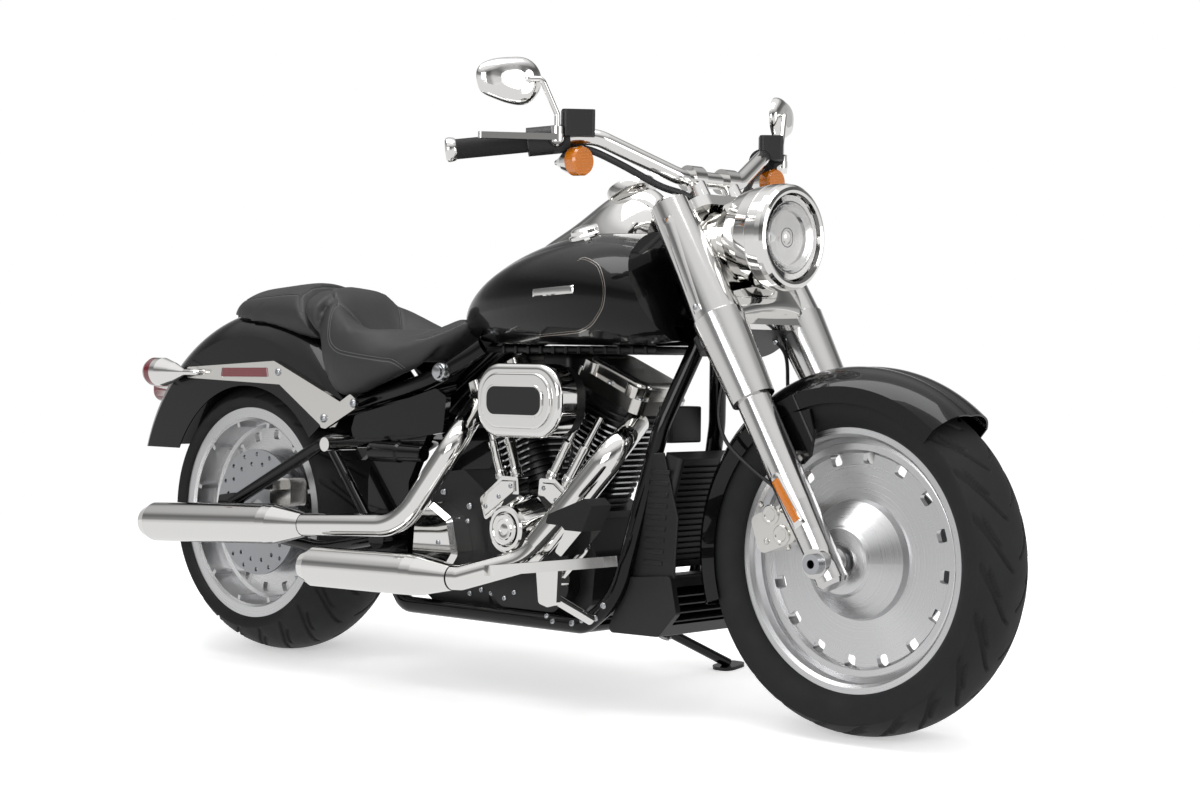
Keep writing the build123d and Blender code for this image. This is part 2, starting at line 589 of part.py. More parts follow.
REAR_SIGNAL = (-232.0, -172.0, 647.0)
signal_stem = pipe([(-176, -172, 647), (-136, -172, 647), (-128, -140, 647)], 7, [12])
signal_stem -= block((-200, 0), (-STRUT_IN - STRUT_THICK - 0.3, 0), (600, 700))
rear_signal = bullet(REAR_SIGNAL, 34, 130, -1) + signal_stem
TAIL_X = FENDER_X - 404.0
tail = Pos(TAIL_X - 26, 0, 604) * Box(90, 116, 62)
tail = fillet(tail.edges().filter_by(Axis.X), 26)
tail = fillet(tail.faces().sort_by(Axis.X)[0].edges(), 12)
tail -= swept_fender(FENDER_X, WHEEL_RADIUS + FENDER_RISE,
                     fender_band(FENDER_CROWN + 0.6, FENDER_SIDE, 100, FENDER_HALF, 380), 100, 179)
nodes["rear_lamps"] = both(rear_signal) + [tail]

# ---------------------------------------------------------------- seats
SEAT_STATIONS = [  # x, half width, base z, top z
    (250, 124, 668, 840),
    (300, 152, 634, 843),
    (350, 166, 600, 834),
    (420, 172, 606, 802),
    (490, 170, 628, 758),
    (560, 154, 652, 740),
    (620, 122, 680, 752),
    (670, 88, 708, 776),
    (700, 66, 735, 795),
]
rider_seat = loft([crowned_section(x, half, low, top, 0.82, 0.66, 0.5, 0.84) for x, half, low, top in SEAT_STATIONS])
seat_pan_outline = [(240, 500), (240, 760), (430, 716), (500, 684), (600, 684), (690, 740), (690, 500)]
seat_pan_face = make_face(Polyline(*[(x, 0, z) for x, z in seat_pan_outline], close=True))
seat_pan = Pos(0, 112, 0) * extrude(seat_pan_face, amount=224, dir=(0, -1, 0))
rider_seat -= seat_pan
rider_seat -= tank_form(SEAT_GAP)
rider_seat -= fender_clear
nodes["rider_seat"] = rider_seat.solids().sort_by(lambda piece: piece.volume)[-1]

PILLION_STATIONS = [  # x, half width, base z, top z
    (-120, 66, 720, 790),
    (-90, 92, 720, 826),
    (-40, 112, 720, 840),
    (60, 126, 720, 848),
    (160, 132, 720, 850),
    (249.6, 136, 720, 846),
]
pillion = loft([crowned_section(x, half, low, top, 0.84, 0.66, 0.55, 0.84) for x, half, low, top in PILLION_STATIONS])
pillion -= fender_clear
nodes["pillion_seat"] = pillion.solids().sort_by(lambda piece: piece.volume)[-1]

# ---------------------------------------------------------------- side covers under the seat
cover_outline = [(388, 530), (400, 560), (540, 592), (656, 622), (690, 606), (680, 530), (560, 512), (490, 508), (412, 456)]
side_cover = side_plate(cover_outline, (-126.4, -140), 9)
duct = Pos(0, -148.5, 484) * Rot(Y=90) * turned(
    (470, 0), (470, 18), (474, 22), (558, 22), (564, 19), (630, 17), (632, 15), (632, 0))
nodes["side_covers"] = both(side_cover) + both(duct)

# ---------------------------------------------------------------- radiator and its lower scoop
radiator_place = Pos(1250, 0, 395) * Rot(Y=16)
core = radiator_place * block((-22, 22), (-98, 98), (-112, 112), 10)
fins_cut = [radiator_place * Pos(22, 0, z) * Box(12, 170, 5) for z in range(-96, 101, 12)]
mount_ears = [radiator_place * block((-46, -22), (sy * 88 - 6, sy * 88 + 6), (zz - 14, zz + 14)) for sy in (-1, 1)
              for zz in (-70, 70)]
scoop = side_plate([(1128, 150), (1176, 262), (1290, 272), (1306, 200), (1262, 152)], (-112, 112), 10)
scoop_mouth = side_plate([(1200, 176), (1216, 246), (1330, 252), (1330, 176)], (-98, 98), 6)
tube_clear = pipe([(1240, -84, 560), (1160, -118, 220), (1085, -130, RAIL_Z), (900, -130, RAIL_Z)],
                  RAIL_RADIUS + SEAT_GAP, [160, 50])
tube_clears = both(tube_clear)
scoop = scoop - scoop_mouth - tube_clears
slats = [Pos(1262, 0, z) * Rot(Y=20) * Box(46, 196.4, 3) for z in (190, 206, 222, 238)]
radiator = core - fins_cut + mount_ears
radiator = radiator - tube_clears
nodes["radiator"] = [radiator, (scoop + slats).solids().sort_by(lambda piece: piece.volume)[-1]]

# ---------------------------------------------------------------- foot controls
board_place = Pos(1112, 0, 278) * Rot(Y=-7)
board_face = make_face([
    Line((-165, 0, 0), (165, 0, 0)), Line((165, 0, 0), (165, -40, 0)),
    ThreePointArc((165, -40, 0), (20, -104, 0), (-165, -30, 0)), Line((-165, -30, 0), (-165, 0, 0)),
])
board = board_place * Pos(0, -246, 0) * extrude(board_face, amount=20)
board_foot = side_plate([(1084, 214), (1076, 286), (1136, 291), (1132, 214), (1108, 208)], (-262, -250), 8)
board_arm = rod((1116, -147.3, 176), (1108, -252, 230), 11)
header_clear = pipe(FRONT_HEADER, PIPE_RADIUS + 5, [60, 90, 14])
board = board + board_foot + board_arm - header_clear
nodes["footboards"] = both(board.solids().sort_by(lambda piece: piece.volume)[-1])

pedal_outline = [(1164, 376), (1172, 394), (1266, 428), (1284, 414), (1258, 366), (1206, 316), (1190, 324),
                 (1216, 366), (1206, 374)]
pedal = side_plate(pedal_outline, (-328, -274), 4)
pedal_arm = pipe([(1204, -290, 334), (1196, -237, 334), (1118, -236, 262)], 7, [24])
pedal_hub = rod((1118, -249.7, 260), (1118, -224, 260), 13)
shifter = pipe([(1118, 232, 260), (1180, 232, 312), (1244, 262, 340)], 7, [24])
shift_peg = rod((1244, 250, 340), (1244, 306, 340), 11)
nodes["foot_controls"] = [pedal + pedal_arm + pedal_hub, shifter + shift_peg + rod((1118, 224, 260), (1118, 249.7, 260), 13)]

peg = rod((452, -140.4, 500), (452, -190, 500), 10) + rod((452, -188, 500), (452, -270, 500), 15)
nodes["passenger_pegs"] = both(peg)

# ---------------------------------------------------------------- final drive belt
BELT_GAP = 1.0
belt_out = make_hull(
    Circle(PULLEY_RADIUS + BELT_GAP + 5).edges()
    + (Pos(PRIMARY_REAR[0], PRIMARY_REAR[1] - WHEEL_RADIUS) * Circle(44 + 5)).edges())
belt_in = make_hull(
    Circle(PULLEY_RADIUS + BELT_GAP).edges()
    + (Pos(PRIMARY_REAR[0], PRIMARY_REAR[1] - WHEEL_RADIUS) * Circle(44)).edges())
belt = extrude(belt_out - belt_in, amount=PULLEY_WIDE - 4)
belt = Pos(0, PULLEY_AT + PULLEY_WIDE - 2, WHEEL_RADIUS) * (Plane.XZ * belt)
nodes["drive_belt"] = belt

# ---------------------------------------------------------------- side stand
STAND_PIVOT = Vector(1045, 162, 122)
STAND_FOOT_AT = (1096.0, 306.0)
floor_z = STAND_FOOT_AT[1] * tan(radians(LEAN))
STAND_FOOT = Vector(STAND_FOOT_AT[0], STAND_FOOT_AT[1], floor_z)
FLOOR_NORMAL = Vector(0, -sin(radians(LEAN)), cos(radians(LEAN)))
foot_plane = Plane(origin=STAND_FOOT, x_dir=(1, 0, 0), z_dir=FLOOR_NORMAL)
foot_pad = foot_plane * extrude(RectangleRounded(56, 64, 20), amount=7)
leg_end = STAND_FOOT + FLOOR_NORMAL * 9
STOWED = Vector(-0.985, 0.16, -0.06)
stand_axis = (leg_end - STAND_PIVOT).cross(STOWED).normalized()
stand_leg = pipe([tuple(STAND_PIVOT), tuple(leg_end)], 10)
hub_low = STAND_PIVOT - stand_axis * 12
hub_high = STAND_PIVOT + stand_axis * 12
stand_hub = rod(tuple(hub_low), tuple(hub_high), 17)
pin_low = STAND_PIVOT - stand_axis * 20
pin_high = STAND_PIVOT + stand_axis * 30
stand_bore = rod(tuple(pin_low), tuple(pin_high), 7 + RUNNING)
nodes["side_stand"] = foot_pad + stand_leg + stand_hub - stand_bore
stand_pin = rod(tuple(STAND_PIVOT - stand_axis * 15), tuple(pin_high), 7)
stand_head = rod(tuple(STAND_PIVOT - stand_axis * 17), tuple(STAND_PIVOT - stand_axis * 13), 12)
lug = rod(tuple(STAND_PIVOT + stand_axis * 13), tuple(STAND_PIVOT + stand_axis * 26), 16)
lug_arm = rod(tuple(STAND_PIVOT + stand_axis * 24), (1045, 128, RAIL_Z + 6), 8)
nodes["frame"] = nodes["frame"] + (stand_pin + stand_head + lug + lug_arm)

# ---------------------------------------------------------------- front fork
LEG_Y = 122.0
LEG_U = WHEEL_RADIUS * sin(radians(RAKE)) - TRAIL * cos(radians(RAKE))
AXLE_S = WHEEL_RADIUS * cos(radians(RAKE)) + TRAIL * sin(radians(RAKE))
SLIDER_RADIUS = 33.0
leg_place = STEER * Pos(LEG_U, -LEG_Y, 0)
leg_profile = [
    (AXLE_S - 46, 0), (AXLE_S - 46, 24), (AXLE_S - 38, 30), (AXLE_S + 60, SLIDER_RADIUS - 2),
    (AXLE_S + 120, SLIDER_RADIUS), (667, SLIDER_RADIUS), (669, 42), (844, 50), (846, 47), (1092, 37.5),
    (1094, 36), (1097.7, 26), (1103, 24), (1105, 18), (1105, 0),
]
leg = leg_place * turned(*leg_profile)
axle_lug = FRONT_HUB * turned((-154, 0), (-154, 27), (-94, 27), (-94, 0))
axle_hole_front = FRONT_HUB * Cylinder(AXLE_RADIUS + RUNNING, 400)
leg = leg + axle_lug - axle_hole_front
nodes["fork_legs"] = both(leg)

CLAMP_LOW = (814.0, 846.0)
CLAMP_HIGH = (1068.0, 1090.0)
cover_clear = STEER * Pos(LEG_U, -LEG_Y, 0) * turned(
    (600, 0), (600, 42.3), (667, 42.3), (844, 50.3), (846.3, 47.3), (1092, 37.8), (1120, 37.8), (1120, 0))
low_clamp = STEER * (Pos(40, 0, CLAMP_LOW[0]) * extrude(RectangleRounded(124, 220, 26), amount=CLAMP_LOW[1] - CLAMP_LOW[0]))
stem = STEER * rod((0, 0, CLAMP_LOW[1] - 5), (0, 0, CLAMP_HIGH[0]), STEM_RADIUS)
high_face = make_hull(
    Circle(36).edges() + (Pos(92, -60) * Circle(31)).edges() + (Pos(92, 60) * Circle(31)).edges())
high_clamp = STEER * Pos(0, 0, CLAMP_HIGH[0]) * extrude(high_face, amount=CLAMP_HIGH[1] - CLAMP_HIGH[0])
cap = STEER * turned((CLAMP_HIGH[1], 0), (CLAMP_HIGH[1], 24), (CLAMP_HIGH[1] + 9, 20), (CLAMP_HIGH[1] + 9, 0))
# bright plate between the legs, behind the lamp
SHROUD_U = (86.0, 92.0)
SHROUD_LOW = 838.0
shroud = STEER * (Pos((SHROUD_U[0] + SHROUD_U[1]) / 2, 0, (SHROUD_LOW + 1080) / 2) * Box(
    SHROUD_U[1] - SHROUD_U[0], 200, 1080 - SHROUD_LOW))
shroud_lip = STEER * (Pos(96, 0, SHROUD_LOW + 5) * Box(24, 200, 10))
clamps = (low_clamp + stem + high_clamp + cap + shroud + shroud_lip) - both(cover_clear)
nodes["fork_clamps"] = clamps.solids().sort_by(lambda piece: piece.volume)[-1]

# ---------------------------------------------------------------- handlebar and what it carries
BAR_RADIUS = 16.0
BAR_MID = (1283.0, 1038.0)
BAR_BEND = (1212.0, 256.0, 1108.0)
BAR_END = (1042.0, 445.0, 1078.0)
bar_points = [
    (BAR_END[0], -BAR_END[1], BAR_END[2]), (BAR_BEND[0], -BAR_BEND[1], BAR_BEND[2]), (BAR_MID[0], -86, BAR_MID[1]),
    (BAR_MID[0], 86, BAR_MID[1]), (BAR_BEND[0], BAR_BEND[1], BAR_BEND[2]), (BAR_END[0], BAR_END[1], BAR_END[2]),
]
BAR_BENDS = [80, 70, 70, 80]
bar = pipe(bar_points, BAR_RADIUS, BAR_BENDS)
bar_local = STEER.to_local_coords(Vector(BAR_MID[0], 0, BAR_MID[1]))
riser = []
for sy in (-1, 1):
    base = STEER.from_local_coords(Vector(bar_local.X, sy * 51, CLAMP_HIGH[1] - 0.0))
    top = STEER.from_local_coords(Vector(bar_local.X, sy * 51, bar_local.Z + 2))
    riser.append(rod(tuple(base), tuple(top), 20, 19))
    riser.append(rod((BAR_MID[0], sy * 51 - 17, BAR_MID[1]), (BAR_MID[0], sy * 51 + 17, BAR_MID[1]), 25))
nodes["handlebar"] = bar + riser


def on_bar(distance, side=-1):
    """Point on the bar's outer straight, measured inwards from its end."""
    end = Vector(BAR_END[0], side * BAR_END[1], BAR_END[2])
    bend = Vector(BAR_BEND[0], side * BAR_BEND[1], BAR_BEND[2])
    return end + (bend - end).normalized() * distance


def sleeve(start, stop, radius, side=-1):
    """Sleeve on the bar's outer straight with running room over the bar."""
    outer = rod(tuple(on_bar(start, side)), tuple(on_bar(stop, side)), radius)
    return outer - rod(tuple(on_bar(start + (0.01 if start < 0 else -5), side)), tuple(on_bar(stop + 5, side)),
                       BAR_RADIUS + 0.3)


GRIP_LONG = 128.0
grip_outer = rod(tuple(on_bar(-6)), tuple(on_bar(GRIP_LONG)), 19)
grip = grip_outer - rod(tuple(on_bar(-0.3)), tuple(on_bar(GRIP_LONG + 5)), BAR_RADIUS + 0.3)
nodes["grips"] = both(grip)

CLUSTER = on_bar(GRIP_LONG + 54)
AHEAD = Vector(0.743, -0.669, 0)            # level and square to the right grip, forwards
housing = sleeve(GRIP_LONG + 1, GRIP_LONG + 80, 27)
reservoir_at = CLUSTER + Vector(40, 19, 28)
reservoir = Pos(*tuple(reservoir_at)) * Rot(Z=-42) * block((-24, 24), (-31, 31), (-24, 26), 8)
perch = rod(tuple(CLUSTER), tuple(CLUSTER + AHEAD * 44), 21, 13)
perch += rod(tuple(CLUSTER + AHEAD * 42 + Vector(0, 0, -8)), tuple(CLUSTER + AHEAD * 42 + Vector(0, 0, 20)), 12)
lever_root = CLUSTER + AHEAD * 42
lever_tip = on_bar(40) + AHEAD * 58
lever_run = lever_tip - lever_root
lever = Plane(origin=lever_root, x_dir=lever_run, z_dir=(0, 0, 1)) * (
    Pos(0, 0, -6) * extrude(make_hull(
        (Pos(0, 0) * Circle(13)).edges() + (Pos(lever_run.length, 0) * Circle(6)).edges()), amount=12))
lever_ball = Pos(*tuple(lever_tip)) * Sphere(9.5)
controls = housing + reservoir + perch + lever + lever_ball
controls -= pipe(bar_points, BAR_RADIUS + 0.3, BAR_BENDS)
controls = controls.solids().sort_by(lambda piece: piece.volume)[-1]
nodes["hand_controls"] = both(controls)

SIGNAL_AT = (1184.0, -292.0, 1058.0)
signal_arm = rod((1176, -300, 1092), (1180, -294, 1060), 7)
front_signal = bullet(SIGNAL_AT, 28, 74, 1)
nodes["front_signals"] = both((front_signal + signal_arm) - rod(tuple(on_bar(100)), tuple(on_bar(250)), 27.3))

MIRROR_RIM = [  # out from the middle of the head, up
    (65, -3), (61, 22), (35, 37), (0, 43), (-32, 43), (-55, 28), (-64, 4), (-55, -24), (-34, -42), (0, -43), (34, -34),
    (58, -22),
]
MIRROR_DEPTHS = [(0, 1.0), (7, 0.995), (15, 0.9), (21, 0.7), (24, 0.4)]      # ahead of the glass, share of the rim
mirror_place = Plane(origin=(1132, -405, 1203), x_dir=(-0.363, -0.932, 0), z_dir=(0.932, -0.363, 0))


def mirror_slice(depth, share):
    """Outline of the mirror head at one depth."""
    rim = Spline(*[(w * share, -v * share, depth) for w, v in MIRROR_RIM], periodic=True)
    return make_face(rim)


mirror_head = mirror_place * loft([mirror_slice(depth, share) for depth, share in MIRROR_DEPTHS])
mirror_joint = mirror_place * Pos(-30, -3, 20) * Sphere(9)
joint_at = mirror_place.from_local_coords(Vector(-30, -3, 24))
stem_foot = CLUSTER + AHEAD * 42 + Vector(0, 0, 20.3)
mirror_stem = pipe([tuple(stem_foot), tuple(stem_foot + Vector(0, 0, 22)), (1180, -366, 1206), tuple(joint_at)], 5.5,
                   [14, 12])
nodes["mirrors"] = both(mirror_head + mirror_joint + mirror_stem)

# ---------------------------------------------------------------- headlamp
LAMP_X = 1486.0
LAMP_Z = 921.0
LAMP_RADIUS = 102.0
lamp_place = Pos(LAMP_X, 0, LAMP_Z) * Rot(Y=90)
shell = lamp_place * turned(
    (-200, 0), (-200, 52), (-170, 62), (-120, 78), (-92, 92), (-62, 99), (-35, LAMP_RADIUS), (-34, LAMP_RADIUS - 1.5),
    (-32, LAMP_RADIUS - 1.5), (-31, LAMP_RADIUS), (-10, LAMP_RADIUS), (0, LAMP_RADIUS - 2), (6, LAMP_RADIUS - 7),
    (8, LAMP_RADIUS - 13), (6, LAMP_RADIUS - 18), (-6, LAMP_RADIUS - 22), (-6, 68), (-16, 66), (-44, 50), (-62, 26),
    (-62, 15), (-30, 15), (-24, 9), (-24, 0))
shell -= STEER * (Pos(SHROUD_U[1] + 0.3 - 500, 0, 900) * Box(1000, 600, 1800))
shell -= STEER * (Pos(123.6 - 100, 0, CLAMP_HIGH[0] + 99.7) * Box(200, 300, 200))
nodes["headlamp_shell"] = shell - both(cover_clear)
nodes["headlamp_lens"] = lamp_place * turned((-5.7, 0), (-5.7, LAMP_RADIUS - 22.6), (-1, LAMP_RADIUS - 22.6), (5, 56), (8, 0))

# ---------------------------------------------------------------- front fender, calipers and axle
FRONT_FENDER_CROWN = 352.0
FRONT_FENDER_HALF = 87.0
front_band = fender_band(FRONT_FENDER_CROWN, 318, 288, FRONT_FENDER_HALF, 3.0)
front_fender = swept_fender(WHEELBASE, WHEEL_RADIUS, front_band, 50, 198)
stay_u, stay_s = LEG_U, 634.0
stay = STEER * rod((stay_u, -LEG_Y + SLIDER_RADIUS + 0.5, stay_s), (stay_u, -FRONT_FENDER_HALF + 0.5, stay_s), 12)
nodes["front_fender"] = front_fender + both(stay)

caliper_shape = fillet(Box(92, 40, 74).edges().filter_by(Axis.Y), 16)
right_caliper = Pos(WHEELBASE - 140, -74, WHEEL_RADIUS + 52) * Rot(Y=-20) * caliper_shape
left_caliper = Pos(WHEELBASE - 128, FRONT_DISC_AT + 2.5, WHEEL_RADIUS + 50) * Rot(Y=-20) * caliper_shape
left_caliper -= FRONT_HUB * Pos(0, 0, FRONT_DISC_AT + 2.5) * Cylinder(156, FRONT_DISC_THICK + 10)
caliper_lug = STEER * rod((LEG_U, -LEG_Y, 470), (LEG_U - 62, -LEG_Y + 40, 470), 12)
leg_solid_clear = leg_place * turned((200, 0), (200, SLIDER_RADIUS + 0.3), (667, SLIDER_RADIUS + 0.3), (667, 0))
nodes["front_calipers"] = [
    (right_caliper + caliper_lug) - leg_solid_clear,
    (left_caliper + mirror(caliper_lug, Plane.XZ)) - mirror(leg_solid_clear, Plane.XZ),
]
front_axle = hollow_axle(164, 154.2)
front_spacer_right = turned((-88.6, AXLE_RADIUS), (-88.6, 19), (-81, 19), (-81, AXLE_RADIUS))
front_spacer_left = turned((66, AXLE_RADIUS), (66, 19), (88.6, 19), (88.6, AXLE_RADIUS))
nodes["front_axle"] = FRONT_HUB * (front_axle + front_spacer_right + front_spacer_left)

# ---------------------------------------------------------------- lean on the stand and export
def solids_of(body):
    """Flat list of the solids in a body or in a nested list of bodies."""
    if isinstance(body, (list, tuple)):
        return [piece for item in body for piece in solids_of(item)]
    return list(body.solids())


lean = Rot(X=-LEAN)
leaned = {name: [lean * piece for piece in solids_of(body)] for name, body in nodes.items()}
boxes = [piece.bounding_box(optimal=True) for pieces in leaned.values() for piece in pieces]
low = [min(getattr(box.min, axis) for box in boxes) for axis in "XYZ"]
high = [max(getattr(box.max, axis) for box in boxes) for axis in "XYZ"]
to_origin = Pos(-(low[0] + high[0]) / 2, -(low[1] + high[1]) / 2, -low[2])

os.makedirs("parts", exist_ok=True)
for name, pieces in leaned.items():
    moved = [to_origin * piece for piece in pieces]
    print(name, len(moved), [round(piece.volume / 1000, 1) for piece in moved])
    export_step(moved[0] if len(moved) == 1 else Compound(children=moved), f"parts/{name}.step")
stand_swing = (leg_end - STAND_PIVOT).get_angle(STOWED)
print("stand swing", stand_swing)
print("origin shift", to_origin.position, "stand axis", stand_axis, "extent", low, high)
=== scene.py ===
"""Black and chrome cruiser motorcycle, parked on its side stand in a white studio."""
import bpy
import bmesh
from math import cos, exp, hypot, pi, radians, sin, sqrt
from mathutils import Matrix, Vector
from mathutils.bvhtree import BVHTree
from mathutils.kdtree import KDTree


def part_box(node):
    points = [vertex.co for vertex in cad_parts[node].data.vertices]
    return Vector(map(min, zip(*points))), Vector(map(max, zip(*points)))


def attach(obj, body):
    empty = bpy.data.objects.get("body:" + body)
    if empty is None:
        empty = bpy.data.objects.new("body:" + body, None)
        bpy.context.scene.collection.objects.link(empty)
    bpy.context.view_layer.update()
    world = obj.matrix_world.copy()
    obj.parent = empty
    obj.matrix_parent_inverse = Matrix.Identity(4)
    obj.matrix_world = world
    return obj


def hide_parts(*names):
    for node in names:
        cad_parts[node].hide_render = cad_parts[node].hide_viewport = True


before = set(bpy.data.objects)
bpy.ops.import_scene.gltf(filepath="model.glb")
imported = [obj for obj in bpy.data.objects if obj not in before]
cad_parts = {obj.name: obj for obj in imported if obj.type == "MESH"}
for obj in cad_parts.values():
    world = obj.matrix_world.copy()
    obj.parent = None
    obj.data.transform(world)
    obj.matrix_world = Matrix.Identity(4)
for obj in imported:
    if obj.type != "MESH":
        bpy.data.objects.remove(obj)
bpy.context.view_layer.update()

# ------------------------------------------------------------------ the leaning machine
# The motorcycle leans to its left on its side stand. Its own upright frame has X forward from the
# rear axle, Y to the rider's left and Z up from the ground, in millimetres, and every piece below
# is drawn in it and then leaned with the machine.
LEAN = radians(7.0)
WHEELBASE = 1665.0
WHEEL_RADIUS = 324.5
RAKE = radians(30.0)
TRAIL = 104.0


def middle(node_name):
    """Centre of a node's box."""
    low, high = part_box(node_name)
    return (Vector(low) + Vector(high)) / 2


MACHINE = (
    Matrix.Translation(middle("rear_tyre"))
    @ Matrix.Rotation(-LEAN, 4, "X")
    @ Matrix.Scale(0.001, 4)
    @ Matrix.Translation((0.0, 0.0, -WHEEL_RADIUS))
)
STEERING = Matrix((
    (cos(RAKE), 0.0, -sin(RAKE), WHEELBASE + TRAIL),
    (0.0, 1.0, 0.0, 0.0),
    (sin(RAKE), 0.0, cos(RAKE), 0.0),
    (0.0, 0.0, 0.0, 1.0),
))


def steer(u, y, s):
    """Point from its place ahead of, beside and along the steering axis."""
    return STEERING @ Vector((u, y, s))


# ------------------------------------------------------------------ gloss black enamel
# Tank, fenders, side covers and frame are steel under black enamel and clear lacquer, baked and
# polished, so they mirror the studio in a nearly perfect black with the faintest orange peel.
def linear(hex_colour, alpha=1.0):
    """sRGB hex value as the linear colour that a shader takes."""
    channels = [int(hex_colour[i:i + 2], 16) / 255 for i in (1, 3, 5)]
    return tuple(c / 12.92 if c <= 0.04045 else ((c + 0.055) / 1.055) ** 2.4 for c in channels) + (alpha,)


def add(tree, kind, settings=None, links=None):
    """Adds a node, sets its properties and sockets, and links other nodes' outputs to it."""
    made = tree.nodes.new(kind)
    for name, value in (settings or {}).items():
        if isinstance(name, str) and hasattr(made, name) and name not in made.inputs:
            setattr(made, name, value)
        else:
            made.inputs[name].default_value = value
    for name, source in (links or {}).items():
        tree.links.new(source, made.inputs[name])
    return made


def finish(name, colour, **sockets):
    """New material with one principled shader; returns it, its tree and the shader."""
    material = bpy.data.materials.new(name)
    material.use_nodes = True
    tree = material.node_tree
    shader = tree.nodes["Principled BSDF"]
    shader.inputs["Base Color"].default_value = linear(colour)
    for socket, value in sockets.items():
        shader.inputs[socket.replace("_", " ").title().replace("Ior", "IOR")].default_value = value
    material.diffuse_color = linear(colour)
    return material, tree, shader


def relief(tree, shader, height, strength, distance):
    """Bumps the shader's surface with a height pattern; distance is in metres."""
    bump = add(tree, "ShaderNodeBump", {"Strength": strength, "Distance": distance}, {"Height": height})
    tree.links.new(bump.outputs["Normal"], shader.inputs["Normal"])


def grain(tree, size_mm, detail=2.0):
    """Noise whose blotches are about size_mm across, over the object's own coordinates."""
    place = add(tree, "ShaderNodeTexCoord")
    return add(tree, "ShaderNodeTexNoise", {"Scale": 1000.0 / size_mm, "Detail": detail},
               {"Vector": place.outputs["Object"]})


def shade_range(tree, shader, source, socket, low, high):
    """Lets a pattern move one of the shader's numbers between two values."""
    spread = add(tree, "ShaderNodeMapRange", {"To Min": low, "To Max": high}, {"Value": source})
    tree.links.new(spread.outputs["Result"], shader.inputs[socket])


black_enamel, tree, shader = finish("black_enamel", "#030304", roughness=0.25, specular_ior_level=0.1,
                                    coat_weight=0.5, coat_roughness=0.02)
peel = grain(tree, 9.0)
relief(tree, shader, peel.outputs["Fac"], 0.05, 0.0004)

# ------------------------------------------------------------------ black wrinkle coat
# Engine castings are aluminium under black powder coat, stoved to a fine tight texture that
# spreads highlights softly.
black_casting, tree, shader = finish("black_casting", "#0d0d0e", roughness=0.42, specular_ior_level=0.45)
texture = grain(tree, 1.6, 3.0)
relief(tree, shader, texture.outputs["Fac"], 0.35, 0.0003)
shade_range(tree, shader, texture.outputs["Fac"], "Roughness", 0.34, 0.5)

# ------------------------------------------------------------------ chrome plate
# Exhausts, covers, bars and lamps are polished and plated with bright chromium: a clean mirror
# with slight softening from handling.
chrome, tree, shader = finish("chrome", "#e8e7e5", metallic=1.0, roughness=0.05)
handling = grain(tree, 60.0, 3.0)
shade_range(tree, shader, handling.outputs["Fac"], "Roughness", 0.03, 0.1)

# ------------------------------------------------------------------ satin silver
# Struts, rocker covers and calipers are tumbled aluminium, bright but soft. Fork covers are of the
# same metal with a finer surface.
soft_silver, tree, shader = finish("soft_silver", "#dad8d4", metallic=1.0, roughness=0.2)
tumbled = grain(tree, 1.2, 2.0)
relief(tree, shader, tumbled.outputs["Fac"], 0.08, 0.0001)
shade_range(tree, shader, tumbled.outputs["Fac"], "Roughness", 0.14, 0.22)
fork_silver, tree, shader = finish("fork_silver", "#d4d3d2", metallic=1.0, roughness=0.17)
tumbled = grain(tree, 1.2, 2.0)
relief(tree, shader, tumbled.outputs["Fac"], 0.05, 0.0001)
shade_range(tree, shader, tumbled.outputs["Fac"], "Roughness", 0.11, 0.18)

# ------------------------------------------------------------------ turned aluminium
# The cast disc wheels are faced on a lathe, which leaves rings too fine to show, so they are drawn
# more than a millimetre apart.
RING_SPACING_MM = 1.4


def ring_distance(tree, hub):
    """Distance from a wheel's axle, in metres."""
    place = add(tree, "ShaderNodeTexCoord")
    axle = Matrix.Rotation(-LEAN, 3, "X") @ Vector((0.0, 1.0, 0.0))
    apart = add(tree, "ShaderNodeVectorMath", {"operation": "SUBTRACT"}, {0: place.outputs["Object"]})
    apart.inputs[1].default_value = hub
    across = add(tree, "ShaderNodeVectorMath", {"operation": "CROSS_PRODUCT"}, {0: apart.outputs["Vector"]})
    across.inputs[1].default_value = axle
    return add(tree, "ShaderNodeVectorMath", {"operation": "LENGTH"}, {0: across.outputs["Vector"]})


def turned_metal(name, colour, hub, roughness, strength):
    """Metal with lathe rings about a wheel's axle."""
    material, tree, shader = finish(name, colour, metallic=1.0, roughness=roughness, anisotropic=0.75)
    distance = ring_distance(tree, hub)
    rings = add(tree, "ShaderNodeTangent", {"direction_type": "RADIAL", "axis": "Y"})
    tree.links.new(rings.outputs["Tangent"], shader.inputs["Tangent"])
    phase = add(tree, "ShaderNodeMath", {"operation": "MULTIPLY", 1: 2 * pi * 1000 / RING_SPACING_MM},
                {0: distance.outputs["Value"]})
    wave = add(tree, "ShaderNodeMath", {"operation": "SINE"}, {0: phase.outputs["Value"]})
    relief(tree, shader, wave.outputs["Value"], strength, 0.00004)
    streaks = add(tree, "ShaderNodeTexNoise", {"noise_dimensions": "1D", "Scale": 420.0, "Detail": 3.0},
                  {"W": distance.outputs["Value"]})
    shade_range(tree, shader, streaks.outputs["Fac"], "Roughness", roughness - 0.06, roughness + 0.09)
    return material


rear_wheel_metal = turned_metal("rear_wheel_metal", "#d2d2d3", middle("rear_tyre"), 0.28, 0.16)
front_wheel_metal = turned_metal("front_wheel_metal", "#d2d2d3", middle("front_tyre"), 0.28, 0.16)
rear_disc_steel = turned_metal("rear_disc_steel", "#aeb0b3", middle("rear_tyre"), 0.3, 0.8)
front_disc_steel = turned_metal("front_disc_steel", "#aeb0b3", middle("front_tyre"), 0.3, 0.8)

